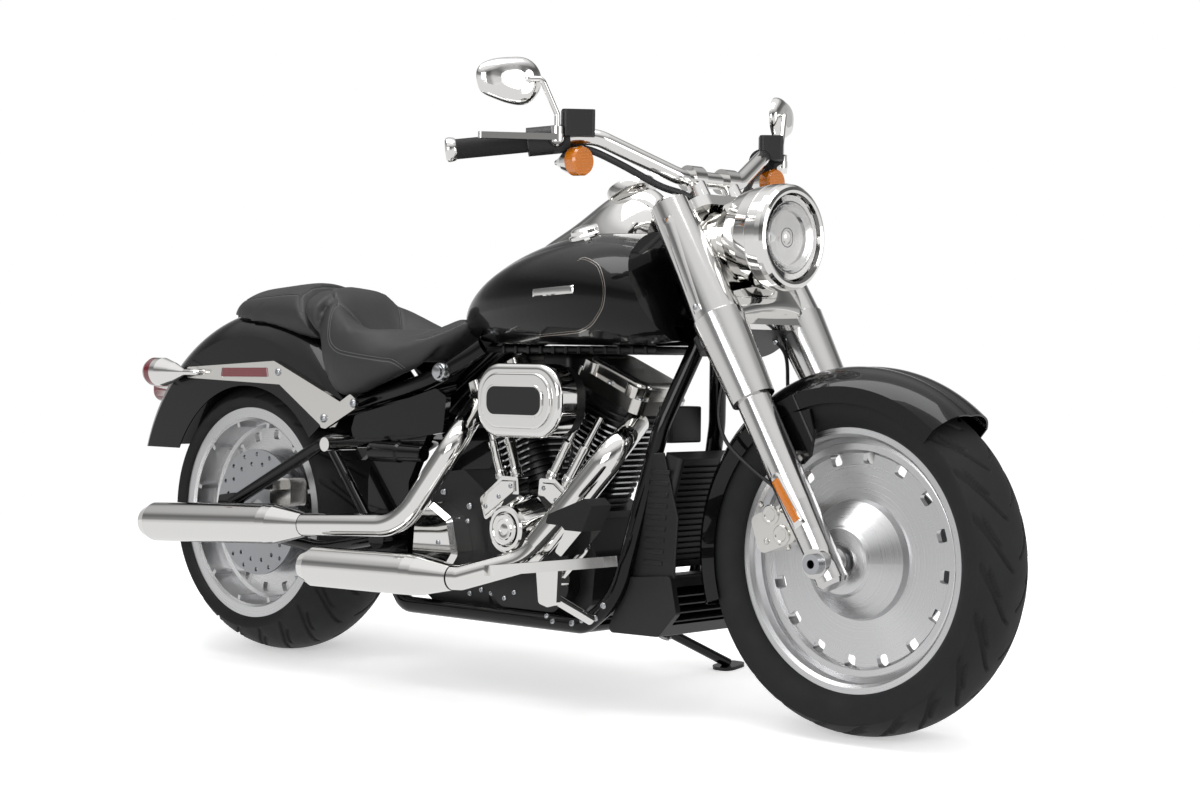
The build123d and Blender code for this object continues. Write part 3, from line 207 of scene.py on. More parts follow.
# ------------------------------------------------------------------ plain steel, rubber and plastic
# Axles and fasteners are bare bright steel; grips, belt and pads are black rubber; the radiator
# shroud is moulded black nylon.
bright_steel, tree, shader = finish("bright_steel", "#b4b6b9", metallic=1.0, roughness=0.22)
drawn = grain(tree, 2.0)
shade_range(tree, shader, drawn.outputs["Fac"], "Roughness", 0.17, 0.3)

black_rubber, tree, shader = finish("black_rubber", "#121213", roughness=0.7, specular_ior_level=0.35)
moulding = grain(tree, 0.9, 3.0)
relief(tree, shader, moulding.outputs["Fac"], 0.3, 0.0002)
shade_range(tree, shader, moulding.outputs["Fac"], "Roughness", 0.62, 0.8)

black_nylon, tree, shader = finish("black_nylon", "#0f0f10", roughness=0.45)
moulding = grain(tree, 1.1, 2.0)
relief(tree, shader, moulding.outputs["Fac"], 0.25, 0.0002)
shade_range(tree, shader, moulding.outputs["Fac"], "Roughness", 0.4, 0.55)

# ------------------------------------------------------------------ lamp glass and lenses
# Headlamp cover is clear polycarbonate; signal and tail lenses are dyed acrylic over a bright reflector.
# The light that reflector would throw back through them is painted on as a faint glow in the lens colour.
clear_glass, tree, shader = finish("clear_glass", "#fafafa", roughness=0.02, transmission_weight=1.0,
                                   ior=1.49)


def lens_plastic(name, colour, painted_glow):
    """Dyed acrylic with moulded flutes a few millimetres apart, and a painted glow in its own colour."""
    material, tree, shader = finish(name, colour, roughness=0.08, coat_weight=1.0, coat_roughness=0.02)
    shader.inputs["Emission Color"].default_value = linear(colour)
    shader.inputs["Emission Strength"].default_value = painted_glow
    place = add(tree, "ShaderNodeTexCoord")
    flutes = add(tree, "ShaderNodeTexWave", {"Scale": 55.0, "bands_direction": "Z"},
                 {"Vector": place.outputs["Object"]})
    relief(tree, shader, flutes.outputs["Fac"], 0.2, 0.0006)
    return material


# Painted glow: the amber lenses glow at 0.04 and the red ones at 0.01, though no lamp is lit.
amber_lens = lens_plastic("amber_lens", "#b86606", 0.04)
red_lens = lens_plastic("red_lens", "#640818", 0.01)

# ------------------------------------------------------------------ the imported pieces
# Each rigid piece keeps its own solid and takes the finish of the real one.
FINISHES = {
    "black_enamel": "frame swingarm fuel_tank rear_fender side_covers front_fender side_stand",
    "black_casting": "crankcase front_cylinder rear_cylinder gearbox air_cleaner_base",
    "fork_silver": "fork_legs",
    "chrome": "pushrod_tubes cam_cover gearbox_cover primary_cover air_cleaner_cover exhaust_headers "
              "upper_muffler lower_muffler tank_console rear_lamps foot_controls passenger_pegs heat_shield "
              "handlebar hand_controls front_signals mirrors headlamp_shell fork_clamps footboards",
    "soft_silver": "rocker_covers rear_caliper fender_struts strut_links front_calipers",
    "bright_steel": "rear_axle front_axle",
    "black_rubber": "drive_belt grips",
    "black_nylon": "radiator",
    "clear_glass": "headlamp_lens",
    "rear_wheel_metal": "rear_rim rear_pulley",
    "front_wheel_metal": "front_rim",
    "rear_disc_steel": "rear_brake_disc",
    "front_disc_steel": "front_brake_disc",
}
for finish_name, node_names in FINISHES.items():
    for node_name in node_names.split():
        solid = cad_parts[node_name]
        solid.data.materials.clear()
        solid.data.materials.append(bpy.data.materials[finish_name])

# ------------------------------------------------------------------ tyres
# Wide radial tyres of black rubber, moulded with smooth flanks, fine rings near the rim and slanted
# tread grooves that open towards the shoulder.
def smooth_step(low, high, value):
    """0 below low, 1 above high, and a smooth rise between."""
    share = min(1.0, max(0.0, (value - low) / (high - low)))
    return share * share * (3 - 2 * share)


def piece_from(name, points, faces, material, body):
    """Mesh piece from points of the upright machine, leaned with it and riding on a body."""
    mesh = bpy.data.meshes.new(name)
    mesh.from_pydata([MACHINE @ Vector(point) for point in points], [], faces)
    mesh.validate()
    mesh.shade_smooth()
    mesh.materials.append(material)
    made = bpy.data.objects.new(name, mesh)
    bpy.context.collection.objects.link(made)
    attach(made, body)
    return made


def ring_faces(turns, across, close_turn, close_across):
    """Quads of a grid whose rows go round and whose columns go across."""
    rows = turns if close_turn else turns - 1
    columns = across if close_across else across - 1
    return [
        (i * across + j, i * across + (j + 1) % across,
         ((i + 1) % turns) * across + (j + 1) % across, ((i + 1) % turns) * across + j)
        for i in range(rows) for j in range(columns)
    ]


tyre_rubber, tree, shader = finish("tyre_rubber", "#141415", roughness=0.72, specular_ior_level=0.35)
bloom = grain(tree, 45.0, 4.0)
shade_range(tree, shader, bloom.outputs["Fac"], "Roughness", 0.6, 0.82)
skin = grain(tree, 0.8, 2.0)
relief(tree, shader, skin.outputs["Fac"], 0.2, 0.00015)

TREAD_TURNS = 960
TREAD_PITCHES = 22
GROOVE_DEPTH = 5.5
GROOVE_WIDTH = 8.0


def groove_depth(turn, across, reach):
    """Depth of the slanted tread grooves at a turn (0 to 1) and a place across the tyre."""
    side = 1 if across > 0 else -1
    share = abs(across) / reach
    pitch = 2 * pi * WHEEL_RADIUS / TREAD_PITCHES
    depth = 0.0
    for start, stop, lead, sweep, wide in ((0.10, 0.97, 0.0, 1.15, 1.0), (0.46, 0.80, 0.52, 0.55, 0.7)):
        if not start - 0.04 < share < stop + 0.04:
            continue
        part = max(0.0, (share - start) / (stop - start))
        along = lead + sweep * part ** 1.5 + (0.25 if side > 0 else 0.0)
        offset = (turn * TREAD_PITCHES - along + 0.5) % 1.0 - 0.5
        slope = 1.5 * sweep * pitch * max(0.05, part) ** 0.5 / ((stop - start) * reach)
        apart = abs(offset) * pitch / sqrt(1 + slope * slope)
        half = 0.5 * wide * GROOVE_WIDTH * (0.45 + 0.55 * share)
        ends = smooth_step(start - 0.03, start + 0.05, share)
        ends *= 1 - smooth_step(stop - 0.05, stop + 0.03, share)
        depth = max(depth, GROOVE_DEPTH * ends * (1 - smooth_step(half - 1.0, half + 1.2, apart)))
    return depth


BEAD_TOP = 243.4
BEAD_FOOT = 232.6
RINGS_FROM = 246
RINGS_TO = 262


def tyre_profile(half, crown_radius, rim_half):
    """(place across, radius) points from one bead over the crown to the other."""
    edge = crown_radius * sin(radians(45))
    reach = half / edge
    crown = []
    steps = 30
    for i in range(-steps, steps + 1):
        a = radians(45.0 * i / steps)
        crown.append((crown_radius * sin(a) * reach, WHEEL_RADIUS - crown_radius * (1 - cos(a))))
    low = crown[-1][1]
    flank = []
    for i in range(1, 11):
        share = i / 10
        bulge = 1.0 - share ** 2.2
        flank.append((rim_half + 1 + (half - rim_half - 1) * bulge ** 0.8, low - (low - 243.6) * share))
    bead = [(rim_half - 8.8, BEAD_TOP), (rim_half - 8.8, BEAD_FOOT)]
    right = flank + bead
    return [(-a, r) for a, r in reversed(right)] + crown + right, len(right), reach * edge


def tread_tyre(name, hub_x, half, crown_radius, rim_half, body, node_name):
    """Whole tyre with moulded tread, standing for its plain solid."""
    profile, skip, reach = tyre_profile(half, crown_radius, rim_half)
    points = []
    for i in range(TREAD_TURNS):
        angle = 2 * pi * i / TREAD_TURNS
        for j, (across, radius) in enumerate(profile):
            deep = 0.0
            if skip <= j < len(profile) - skip:
                deep = groove_depth(i / TREAD_TURNS, across, reach)
            elif RINGS_FROM < radius < RINGS_TO:
                deep = -0.5 * (0.5 + 0.5 * cos((radius - RINGS_FROM) / 16 * 4 * pi))
            here = radius - deep
            points.append((hub_x + here * cos(angle), across, WHEEL_RADIUS + here * sin(angle)))
    faces = ring_faces(TREAD_TURNS, len(profile), True, True)
    made = piece_from(name, points, faces, tyre_rubber, body)
    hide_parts(node_name)


tread_tyre("front_tread", WHEELBASE, 78.0, 95.0, 50.0, "front_wheel", "front_tyre")
tread_tyre("rear_tread", 0.0, 121.0, 200.0, 108.0, "rear_wheel", "rear_tyre")


# ------------------------------------------------------------------ seats
# Foam on a hidden pan under black leather, in two pads. The rider's pad is a deep bucket whose back
# bolster lies over the front of the smaller passenger pad. Panels meet in stitched seams, which are
# doubled along the sides.
MACHINE_BACK = MACHINE.inverted()
SEAT_PLACES = (250, 275, 300, 325, 345, 370, 400, 443, 500, 560, 640, 710)
SEAT_FLOOR = (829, 812, 778, 746, 727, 722, 726, 736, 741, 745, 768, 800)
SEAT_RIM = (822, 806, 791, 777, 766, 753, 742, 740, 742, 748, 768, 800)
LUMBAR_PLACES = (150, 181, 215, 250)
LUMBAR_TOPS = (852, 846, 840, 829)
NOSE_LIFT = 14.0
DISH_FROM = 38.0
DISH_TO = 112.0
VOXEL = 0.006
SWELL_CAP = 0.007
SWELL_START = 0.003
SWELL_FRAMES = 20
SWELL_PRESSURE = 4.0
SEAM_WIDTH = 3.2
SEAM_DEPTH = 2.6
PAD_GAP = 8.0
SPLIT_PLACE = Vector((256.0, 0.0, 720.0))
SPLIT_WAY = Vector((1.0, 0.0, 0.83)).normalized()
STITCH_APART = 0.0032
STITCH_LENGTH = 0.0042
STITCH_RADIUS = 0.0006

seat_leather, tree, shader = finish("seat_leather", "#29292a", roughness=0.5, specular_ior_level=0.4)
place = add(tree, "ShaderNodeTexCoord")
pores = add(tree, "ShaderNodeTexVoronoi", {"feature": "DISTANCE_TO_EDGE", "Scale": 1000.0 / 1.6},
            {"Vector": place.outputs["Object"]})
creases = add(tree, "ShaderNodeMapRange", {"From Max": 0.12}, {"Value": pores.outputs["Distance"]})
relief(tree, shader, creases.outputs["Result"], 0.3, 0.00025)
worn = grain(tree, 70.0, 4.0)
shade_range(tree, shader, worn.outputs["Fac"], "Roughness", 0.42, 0.6)
tint = add(tree, "ShaderNodeMixRGB", {"Color1": linear("#262627"), "Color2": linear("#2e2e2f")},
           {"Fac": worn.outputs["Fac"]})
tree.links.new(tint.outputs["Color"], shader.inputs["Base Color"])

grey_thread, tree, shader = finish("grey_thread", "#6f6f70", roughness=0.7)
twist = grain(tree, 0.8)
relief(tree, shader, twist.outputs["Fac"], 0.3, 0.0002)


def table_value(places, values, x):
    """Value at x on straight runs between the table's places."""
    for i in range(len(places) - 1):
        if x <= places[i + 1]:
            share = max(0.0, (x - places[i]) / (places[i + 1] - places[i]))
            return values[i] + (values[i + 1] - values[i]) * share
    return values[-1]


def dish_top(x, y):
    """Height of the rider's pad over the bucket's floor and up to its rim."""
    rise = smooth_step(DISH_FROM, DISH_TO, abs(y))
    low = table_value(SEAT_PLACES, SEAT_FLOOR, x)
    return low + (table_value(SEAT_PLACES, SEAT_RIM, x) - low) * rise


def foam_block(name, parts):
    """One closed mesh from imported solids, each kept on one side of the pads' split."""
    block = bmesh.new()
    for node_name, front in parts:
        piece = bmesh.new()
        piece.from_mesh(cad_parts[node_name].data)
        piece.transform(MACHINE_BACK)
        bmesh.ops.remove_doubles(piece, verts=piece.verts, dist=0.02)
        if front is not None:
            side = 1.0 if front else -1.0
            origin = SPLIT_PLACE - SPLIT_WAY * (side * PAD_GAP * -0.5)
            whole = piece.verts[:] + piece.edges[:] + piece.faces[:]
            cut = bmesh.ops.bisect_plane(piece, geom=whole, dist=0.01, plane_co=origin,
                                         plane_no=SPLIT_WAY * -side, clear_outer=True)
            edges = [item for item in cut["geom_cut"] if isinstance(item, bmesh.types.BMEdge)]
            bmesh.ops.holes_fill(piece, edges=edges, sides=0)
        loose = bpy.data.meshes.new("loose")
        piece.to_mesh(loose)
        piece.free()
        block.from_mesh(loose)
        bpy.data.meshes.remove(loose)
    block.transform(MACHINE)
    mesh = bpy.data.meshes.new(name)
    block.to_mesh(mesh)
    block.free()
    return mesh


def applied(made):
    """Puts an object's modifiers into its own mesh."""
    seen = made.evaluated_get(bpy.context.evaluated_depsgraph_get())
    mesh = bpy.data.meshes.new_from_object(seen)
    made.modifiers.clear()
    old = made.data
    made.data = mesh
    bpy.data.meshes.remove(old)


def relaxed(mesh, rounds):
    """Smooths a mesh a little."""
    shape = bmesh.new()
    shape.from_mesh(mesh)
    for _ in range(rounds):
        bmesh.ops.smooth_vert(shape, verts=shape.verts[:], factor=0.5, use_axis_x=True, use_axis_y=True,
                              use_axis_z=True)
    shape.to_mesh(mesh)
    shape.free()


def swollen(made):
    """Blows the pad up a little under its cover and keeps each point near where it started."""
    mesh = made.data
    start = [vertex.co.copy() for vertex in mesh.vertices]
    for vertex in mesh.vertices:
        vertex.co = vertex.co - vertex.normal * SWELL_START
    cloth = made.modifiers.new("cover", "CLOTH")
    cloth.settings.use_pressure = True
    cloth.settings.uniform_pressure_force = SWELL_PRESSURE
    cloth.settings.effector_weights.gravity = 0.0
    cloth.settings.quality = 4
    scene = bpy.context.scene
    for step in range(1, SWELL_FRAMES + 1):
        scene.frame_set(step)
    seen = made.evaluated_get(bpy.context.evaluated_depsgraph_get())
    swell = [vertex.co.copy() for vertex in seen.data.vertices]
    made.modifiers.clear()
    scene.frame_set(1)
    drift = sum((after - before for after, before in zip(swell, start)), Vector()) / len(start)
    for vertex, before, after in zip(mesh.vertices, start, swell):
        travel = after - drift - before
        if travel.length > SWELL_CAP:
            travel *= SWELL_CAP / travel.length
        vertex.co = before + travel


def run_points(corners, step):
    """Even points along a smooth line through a few corners."""
    path = [Vector(corner) for corner in corners]
    path = [path[0] * 2 - path[1]] + path + [path[-1] * 2 - path[-2]]
    fine = []
    for i in range(1, len(path) - 2):
        a, b, c, d = path[i - 1], path[i], path[i + 1], path[i + 2]
        for k in range(24):
            t = k / 24
            fine.append(0.5 * (2 * b + (c - a) * t + (2 * a - 5 * b + 4 * c - d) * t * t
                               + (3 * b - a - 3 * c + d) * t ** 3))
    fine.append(path[-2])
    points = [fine[0]]
    left = step
    for before, after in zip(fine, fine[1:]):
        length = (after - before).length
        while left <= length:
            points.append(before + (after - before) * (left / length))
            left += step
        left -= length
    return points


def mirrored(corners):
    """The same line on the machine's other side."""
    return [(x, -y, z) for x, y, z in corners]


def skin_tree(mesh):
    """Search tree over a mesh as it stands."""
    return BVHTree.FromPolygons([vertex.co for vertex in mesh.vertices],
                                [tuple(face.vertices) for face in mesh.polygons])


def sewn(made, seams, twin):
    """Presses seams into a pad's cover and lays stitches along them; returns the stitches."""
    mesh = made.data
    inside = skin_tree(mesh)
    tree_points = KDTree(len(mesh.vertices))
    for vertex in mesh.vertices:
        tree_points.insert(vertex.co, vertex.index)
    tree_points.balance()
    push = {}
    normals = [vertex.normal.copy() for vertex in mesh.vertices]
    stitches = []
    for seam in seams:
        laid = []
        for point in run_points(seam, 1.5):
            place, normal, index, apart = inside.find_nearest(MACHINE @ point)
            laid.append((place, normal))
        for place, normal in laid:
            for found, index, apart in tree_points.find_range(place, 3 * SEAM_WIDTH / 1000):
                share = exp(-(apart * 1000 / SEAM_WIDTH) ** 2)
                push[index] = max(push.get(index, 0.0), share)
        for i in range(2, len(laid) - 3, 4):
            place, normal = laid[i]
            along = (laid[i + 1][0] - laid[i - 1][0]).normalized()
            beside = along.cross(normal).normalized()
            for side in ((-1, 1) if twin else (1,)):
                stitches.append((place + beside * (side * STITCH_APART), along, beside))
    for index, share in push.items():
        mesh.vertices[index].co -= normals[index] * (SEAM_DEPTH * share / 1000)
    pressed = skin_tree(mesh)
    points = []
    faces = []
    for place, along, beside in stitches:
        place, normal, index, apart = pressed.find_nearest(place)
        first = len(points)
        for k, (share, wide) in enumerate(((-1.0, 0.35), (-0.6, 1.0), (0.6, 1.0), (1.0, 0.35))):
            middle_point = place + along * (share * STITCH_LENGTH / 2) + normal * (0.0003 * wide)
            for turn_angle in (0, 72, 144, 216, 288):
                around = normal * cos(radians(turn_angle)) + beside * sin(radians(turn_angle))
                points.append(middle_point + around * (STITCH_RADIUS * wide))
        for k in range(3):
            for j in range(5):
                a = first + 5 * k + j
                b = first + 5 * k + (j + 1) % 5
                faces.append((a, b, b + 5, a + 5))
        faces.append(tuple(first + j for j in (4, 3, 2, 1, 0)))
        faces.append(tuple(first + 15 + j for j in range(5)))
    return points, faces


def soft_pad(name, parts, node_name, shape_it, seams, single_seams):
    """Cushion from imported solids: shaped, blown up, subdivided and sewn."""
    made = bpy.data.objects.new(name, foam_block(name, parts))
    bpy.context.collection.objects.link(made)
    remesh = made.modifiers.new("even", "REMESH")
    remesh.mode = "VOXEL"
    remesh.voxel_size = VOXEL
    applied(made)
    mesh = made.data
    shape_it(mesh)
    relaxed(mesh, 9)
    swollen(made)
    relaxed(made.data, 2)
    made.modifiers.new("round", "SUBSURF").levels = 1
    applied(made)
    made.data.shade_smooth()
    made.data.materials.clear()
    made.data.materials.append(seat_leather)
    points, faces = sewn(made, seams, True)
    more_points, more_faces = sewn(made, single_seams, False)
    shift = len(points)
    points += more_points
    faces += [tuple(index + shift for index in face) for face in more_faces]
    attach(made, "frame")
    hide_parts(node_name)
    thread_mesh = bpy.data.meshes.new(name + "_stitches")
    thread_mesh.from_pydata(points, [], faces)
    thread_mesh.shade_smooth()
    thread_mesh.materials.append(grey_thread)
    thread = bpy.data.objects.new(name + "_stitches", thread_mesh)
    bpy.context.collection.objects.link(thread)
    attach(thread, "frame")


def press_dish(mesh):
    """Lowers the rider's pad to the floor, rim and lumbar face of the bucket."""
    for vertex in mesh.vertices:
        point = MACHINE_BACK @ vertex.co
        if point.x > LUMBAR_PLACES[-1]:
            top = dish_top(point.x, point.y)
        else:
            top = table_value(LUMBAR_PLACES, LUMBAR_TOPS, point.x)
        if point.x > 520 and point.z > 640:
            point.z += NOSE_LIFT * smooth_step(520, 680, point.x) * smooth_step(640, 740, point.z)
            top += NOSE_LIFT
        point.z = min(point.z, top)
        vertex.co = MACHINE @ point


def leave_as_is(mesh):
    """The passenger pad keeps the form of its solid."""


MAIN_SEAM = [(288, -97, 806), (293, -117, 797), (307, -140, 774), (321, -155, 746), (334, -164, 724),
             (354, -169, 709), (383, -173, 698), (441, -174, 690), (491, -171, 685), (535, -162, 680),
             (553, -154, 668), (560, -142, 655)]
NOSE_SEAM = [(577, -122, 725), (599, -118, 731), (622, -108, 741), (650, -94, 757), (680, -76, 778)]
BOLSTER_SEAM = [(288, -97, 806), (250, -74, 824), (217, -58, 838), (190, -40, 845)]
LUMBAR_SEAM = [(284, -88, 810), (305, -76, 780), (325, -62, 750), (341, -47, 730)]
FLOOR_SEAM = [(341, -47, 730), (338, -24, 734), (337, 0, 735), (338, 24, 734), (341, 47, 730)]
soft_pad("rider_pad", (("rider_seat", None), ("pillion_seat", True)), "rider_seat", press_dish,
         [MAIN_SEAM, mirrored(MAIN_SEAM)],
         [NOSE_SEAM, mirrored(NOSE_SEAM), BOLSTER_SEAM, mirrored(BOLSTER_SEAM), LUMBAR_SEAM,
          mirrored(LUMBAR_SEAM), FLOOR_SEAM])
PILLION_SEAM = [(-84, -62, 812), (-40, -92, 826), (46, -104, 830), (104, -107, 834), (170, -108, 836)]
PILLION_BAND = [(198, -128, 790), (186, -120, 812), (168, -100, 832), (156, -60, 845), (152, 0, 849),
                (156, 60, 845), (168, 100, 832), (186, 120, 812), (198, 128, 790)]
soft_pad("passenger_pad", (("pillion_seat", False),), "pillion_seat", leave_as_is,
         [PILLION_SEAM, mirrored(PILLION_SEAM)], [PILLION_BAND])

# ------------------------------------------------------------------ tank stripe, badge and cap
# A thin brown-grey line is painted round each flank, and a plain plated bar is stuck in the middle.
# The filler cap is a plated bayonet lid.
SURFACES = {}
SHARP_FROM = radians(35.0)


def surface(node_name):
    """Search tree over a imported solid, in the machine's own frame."""
    if node_name not in SURFACES:
        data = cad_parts[node_name].data
        points = [MACHINE_BACK @ vertex.co for vertex in data.vertices]
        SURFACES[node_name] = BVHTree.FromPolygons(points, [tuple(face.vertices) for face in data.polygons])
    return SURFACES[node_name]


def landing(node_names, start, way):
    """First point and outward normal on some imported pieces, from a start and a way to look."""
    best = None
    for node_name in node_names.split():
        place, normal, index, apart = surface(node_name).ray_cast(Vector(start), Vector(way).normalized())
        if place is not None and (best is None or apart < best[2]):
            best = (place, normal, apart)
    if best is None:
        return None, None
    place, normal, apart = best
    return place, normal if normal.dot(Vector(way)) < 0 else -normal


def merged(shapes):
    """Several (points, faces) pairs as one."""
    points = []
    faces = []
    for some_points, some_faces in shapes:
        shift = len(points)
        points += [tuple(point) for point in some_points]
        faces += [tuple(index + shift for index in face) for face in some_faces]
    return points, faces


def dress(name, shapes, material, body):
    """One riding piece from several shapes drawn in the machine's own frame."""
    points, faces = merged(shapes)
    made = piece_from(name, points, faces, material, body)
    made.data.set_sharp_from_angle(angle=SHARP_FROM)


def square_to(axis):
    """Two unit directions square to an axis and to each other."""
    axis = Vector(axis).normalized()
    first = axis.cross(Vector((0.0, 0.0, 1.0)) if abs(axis.z) < 0.9 else Vector((1.0, 0.0, 0.0))).normalized()
    return first, axis.cross(first)


def lathe(origin, axis, profile, sides=24):
    """Turned shape from (distance along, radius) pairs, closed at both ends."""
    axis = Vector(axis).normalized()
    first, second = square_to(axis)
    points = []
    for along, radius in profile:
        for k in range(sides):
            a = 2 * pi * k / sides
            points.append(Vector(origin) + axis * along + (first * cos(a) + second * sin(a)) * radius)
    faces = []
    for i in range(len(profile) - 1):
        for k in range(sides):
            a = i * sides + k
            b = i * sides + (k + 1) % sides
            faces.append((a, b, b + sides, a + sides))
    faces.append(tuple(reversed(range(sides))))
    faces.append(tuple(range(len(points) - sides, len(points))))
    return points, faces


def swept(corners, radius, sides=10, step=7.0, tall=1.0):
    """Round or, with tall, oval bar along a smooth line through its corners, closed at its ends."""
    path = run_points(corners, step)
    points = []
    beside = None
    for i, point in enumerate(path):
        along = (path[min(i + 1, len(path) - 1)] - path[max(i - 1, 0)]).normalized()
        if beside is None:
            beside = square_to(along)[0]
        beside = (beside - along * beside.dot(along)).normalized()
        upright = along.cross(beside)
        for k in range(sides):
            a = 2 * pi * k / sides
            points.append(point + beside * (radius * cos(a)) + upright * (radius * tall * sin(a)))
    faces = ring_faces(len(path), sides, False, True)
    faces.append(tuple(range(sides)))
    faces.append(tuple(reversed(range(len(points) - sides, len(points)))))
    return points, faces


def laid_strip(node_names, line, way, wide, lift, step=6.0, columns=3, stand_back=60.0):
    """Low strip that follows a packed surface under a line, seen along a way to look."""
    path = run_points(line, step)
    way = Vector(way).normalized()
    rows = []
    for i, point in enumerate(path):
        along = (path[min(i + 1, len(path) - 1)] - path[max(i - 1, 0)]).normalized()
        beside = along.cross(way).normalized()
        row = []
        for k in range(-columns, columns + 1):
            share = k / columns
            start = point + beside * (share * wide / 2) - way * stand_back
            place, normal = landing(node_names, start, way)
            if place is None:
                break
            edge = abs(k) == columns or i in (0, len(path) - 1)
            row.append(place + normal * (0.05 if edge else lift * (1.0 - 0.25 * share * share)))
        if len(row) == 2 * columns + 1:
            rows.append(row)
    return [point for row in rows for point in row], ring_faces(len(rows), 2 * columns + 1, False, False)


def button_head(place, normal, radius, height):
    """Round screw head with a socket."""
    return lathe(place - normal * 0.5, normal, (
        (0, radius), (0.35 * height, radius), (0.7 * height, 0.9 * radius), (height, 0.66 * radius),
        (height, 0.42 * radius), (0.45 * height, 0.4 * radius), (0.4 * height, 0.05 * radius)), 14)


stripe_paint, tree, shader = finish("stripe_paint", "#6d655e", roughness=0.25, coat_weight=1.0,
                                    coat_roughness=0.02)
flake = grain(tree, 3.0)
shade_range(tree, shader, flake.outputs["Fac"], "Roughness", 0.2, 0.35)
BESIDE = 300.0
STRIPE = [(1085, 883), (1096, 886), (1122, 879), (1146, 867), (1167, 840), (1174, 815), (1169, 789),
          (1150, 767), (1127, 751), (1094, 740), (1055, 736), (967, 731)]
stripes = []
for side in (-1, 1):
    for inset, wide in ((0.0, 1.5), (4.5, 0.8)):
        line = [(x, side * BESIDE, z) for x, z in STRIPE]
        centre = Vector((1020.0, side * BESIDE, 805.0))
        line = [Vector(p) + (centre - Vector(p)).normalized() * inset for p in line]
        stripes.append(laid_strip("fuel_tank", line, (0, -side, 0), wide, 0.12, 6.0, 1, 0.0))
dress("tank_stripes", stripes, stripe_paint, "frame")

BADGE_CENTRE = (1033.0, 820.0)
BADGE_HALF = 60.0
BADGE_WIDE = 16.0
badge = []
for side in (-1, 1):
    line = [(BADGE_CENTRE[0] + share * BADGE_HALF, side * BESIDE, BADGE_CENTRE[1] + 3.0 * share)
            for share in (-1.0, 0.0, 1.0)]
    badge.append(laid_strip("fuel_tank", line, (0, -side, 0), BADGE_WIDE, 2.6, 4.0, 4, 0.0))
dress("tank_badges", badge, chrome, "frame")

place, normal = landing("fuel_tank", (1018, -61, 1100), (0, 0, -1))
dress("filler_cap", [lathe(place - normal * 4, normal, (
    (0, 41), (6, 41), (8, 39), (8, 36), (9, 35), (16, 34), (20, 30), (22.5, 22), (23.5, 10), (24, 0.2)), 40)],
    chrome, "frame")

# ------------------------------------------------------------------ instrument on the console
# One round speedometer looks up at the rider from the plated console: black dial under flat glass in
# a bright bezel.
dial_black, tree, shader = finish("dial_black", "#08080a", roughness=0.12, coat_weight=1.0,
                                  coat_roughness=0.02)
dust = grain(tree, 20.0)
shade_range(tree, shader, dust.outputs["Fac"], "Roughness", 0.08, 0.18)
DIAL_WAY = Vector((-0.42, 0.0, 0.91)).normalized()
place, normal = landing("tank_console", Vector((1085, 0, 1015)) + DIAL_WAY * 120, -DIAL_WAY)
dress("dial_bezel", [lathe(place - DIAL_WAY * 12, DIAL_WAY, ((0, 50), (16, 50), (19, 48), (19, 45), (14, 43),
                                                            (13, 20), (13, 0.2)), 48)], chrome, "frame")
dress("dial_glass", [lathe(place - DIAL_WAY * 2, DIAL_WAY, ((0, 42), (5.6, 43), (6.2, 30), (6.6, 0.2)), 48)],
      dial_black, "frame")

# ------------------------------------------------------------------ finishes by face
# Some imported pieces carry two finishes: machined fin edges on black cylinders, rubber tops on bright
# footboards, black reservoirs beside plated levers, and dyed lenses in plated lamps.
def refinish(node_name, material, chosen):
    """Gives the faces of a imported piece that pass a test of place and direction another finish."""
    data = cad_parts[node_name].data
    data.materials.append(material)
    upright = Matrix.Rotation(LEAN, 3, "X")
    for face in data.polygons:
        if chosen(MACHINE_BACK @ face.center, upright @ face.normal):
            face.material_index = len(data.materials) - 1


machined_edge, tree, shader = finish("machined_edge", "#c9cacc", metallic=1.0, roughness=0.25)
cutter = grain(tree, 1.5)
shade_range(tree, shader, cutter.outputs["Fac"], "Roughness", 0.2, 0.36)
CRANK_CENTRE = Vector((925.0, 0.0, 250.0))
BANK = radians(22.5)


def fin_edge(sign):
    """Test for the outer edges of a cylinder's cooling fins."""
    bore = Vector((sign * sin(BANK), 0.0, cos(BANK)))
    flat = Vector((cos(BANK), 0.0, -sign * sin(BANK)))

    def chosen(point, normal):
        apart = point - CRANK_CENTRE
        return (abs(normal.dot(bore)) < 0.3 and apart.dot(bore) < 352
                and (abs(apart.dot(flat)) > 60 or abs(point.y) > 68))
    return chosen


for node_name, sign in (("front_cylinder", 1), ("rear_cylinder", -1)):
    refinish(node_name, machined_edge, fin_edge(sign))
FILTER_FACE = -216.2
SIGNAL_FACE = 1194
BOARD_TOP = 240
refinish("air_cleaner_cover", black_nylon, lambda point, normal: point.y < FILTER_FACE)
refinish("front_signals", amber_lens, lambda point, normal: point.x > SIGNAL_FACE)
refinish("footboards", black_rubber, lambda point, normal: normal.z > 0.6 and point.z > BOARD_TOP)


def rear_lens(point, normal):
    """Test for the lenses at the back of the two signals and of the tail lamp."""
    return (point.x < -268 and abs(point.y) > 100) or (point.x < -400 and abs(point.y) < 70)


def pedal_pad(point, normal):
    """Test for the brake pedal's pad on the right and the shift lever's pegs on the left."""
    return (point.z > 366 and point.y < 0) or point.y > 262


SWITCH_CENTRE = Vector((1162.9, -310.7, 1099.3))
SWITCH_WAY = Vector((0.743, -0.669, 0.0))
SWITCH_REACH = 31.0
RESERVOIR_CENTRE = Vector((1203.0, -291.7, 1127.0))
RESERVOIR_REACH = 46.0


def switch_or_reservoir(point, normal):
    """Test for a switch housing on the bar and the fluid reservoir over it, on either side."""
    place = Vector((point.x, -abs(point.y), point.z))
    return ((place - SWITCH_CENTRE).dot(SWITCH_WAY) < SWITCH_REACH
            or (place - RESERVOIR_CENTRE).length < RESERVOIR_REACH)


refinish("rear_lamps", red_lens, rear_lens)
refinish("foot_controls", black_rubber, pedal_pad)
refinish("hand_controls", black_nylon, switch_or_reservoir)
STEERING_BACK = STEERING.inverted()


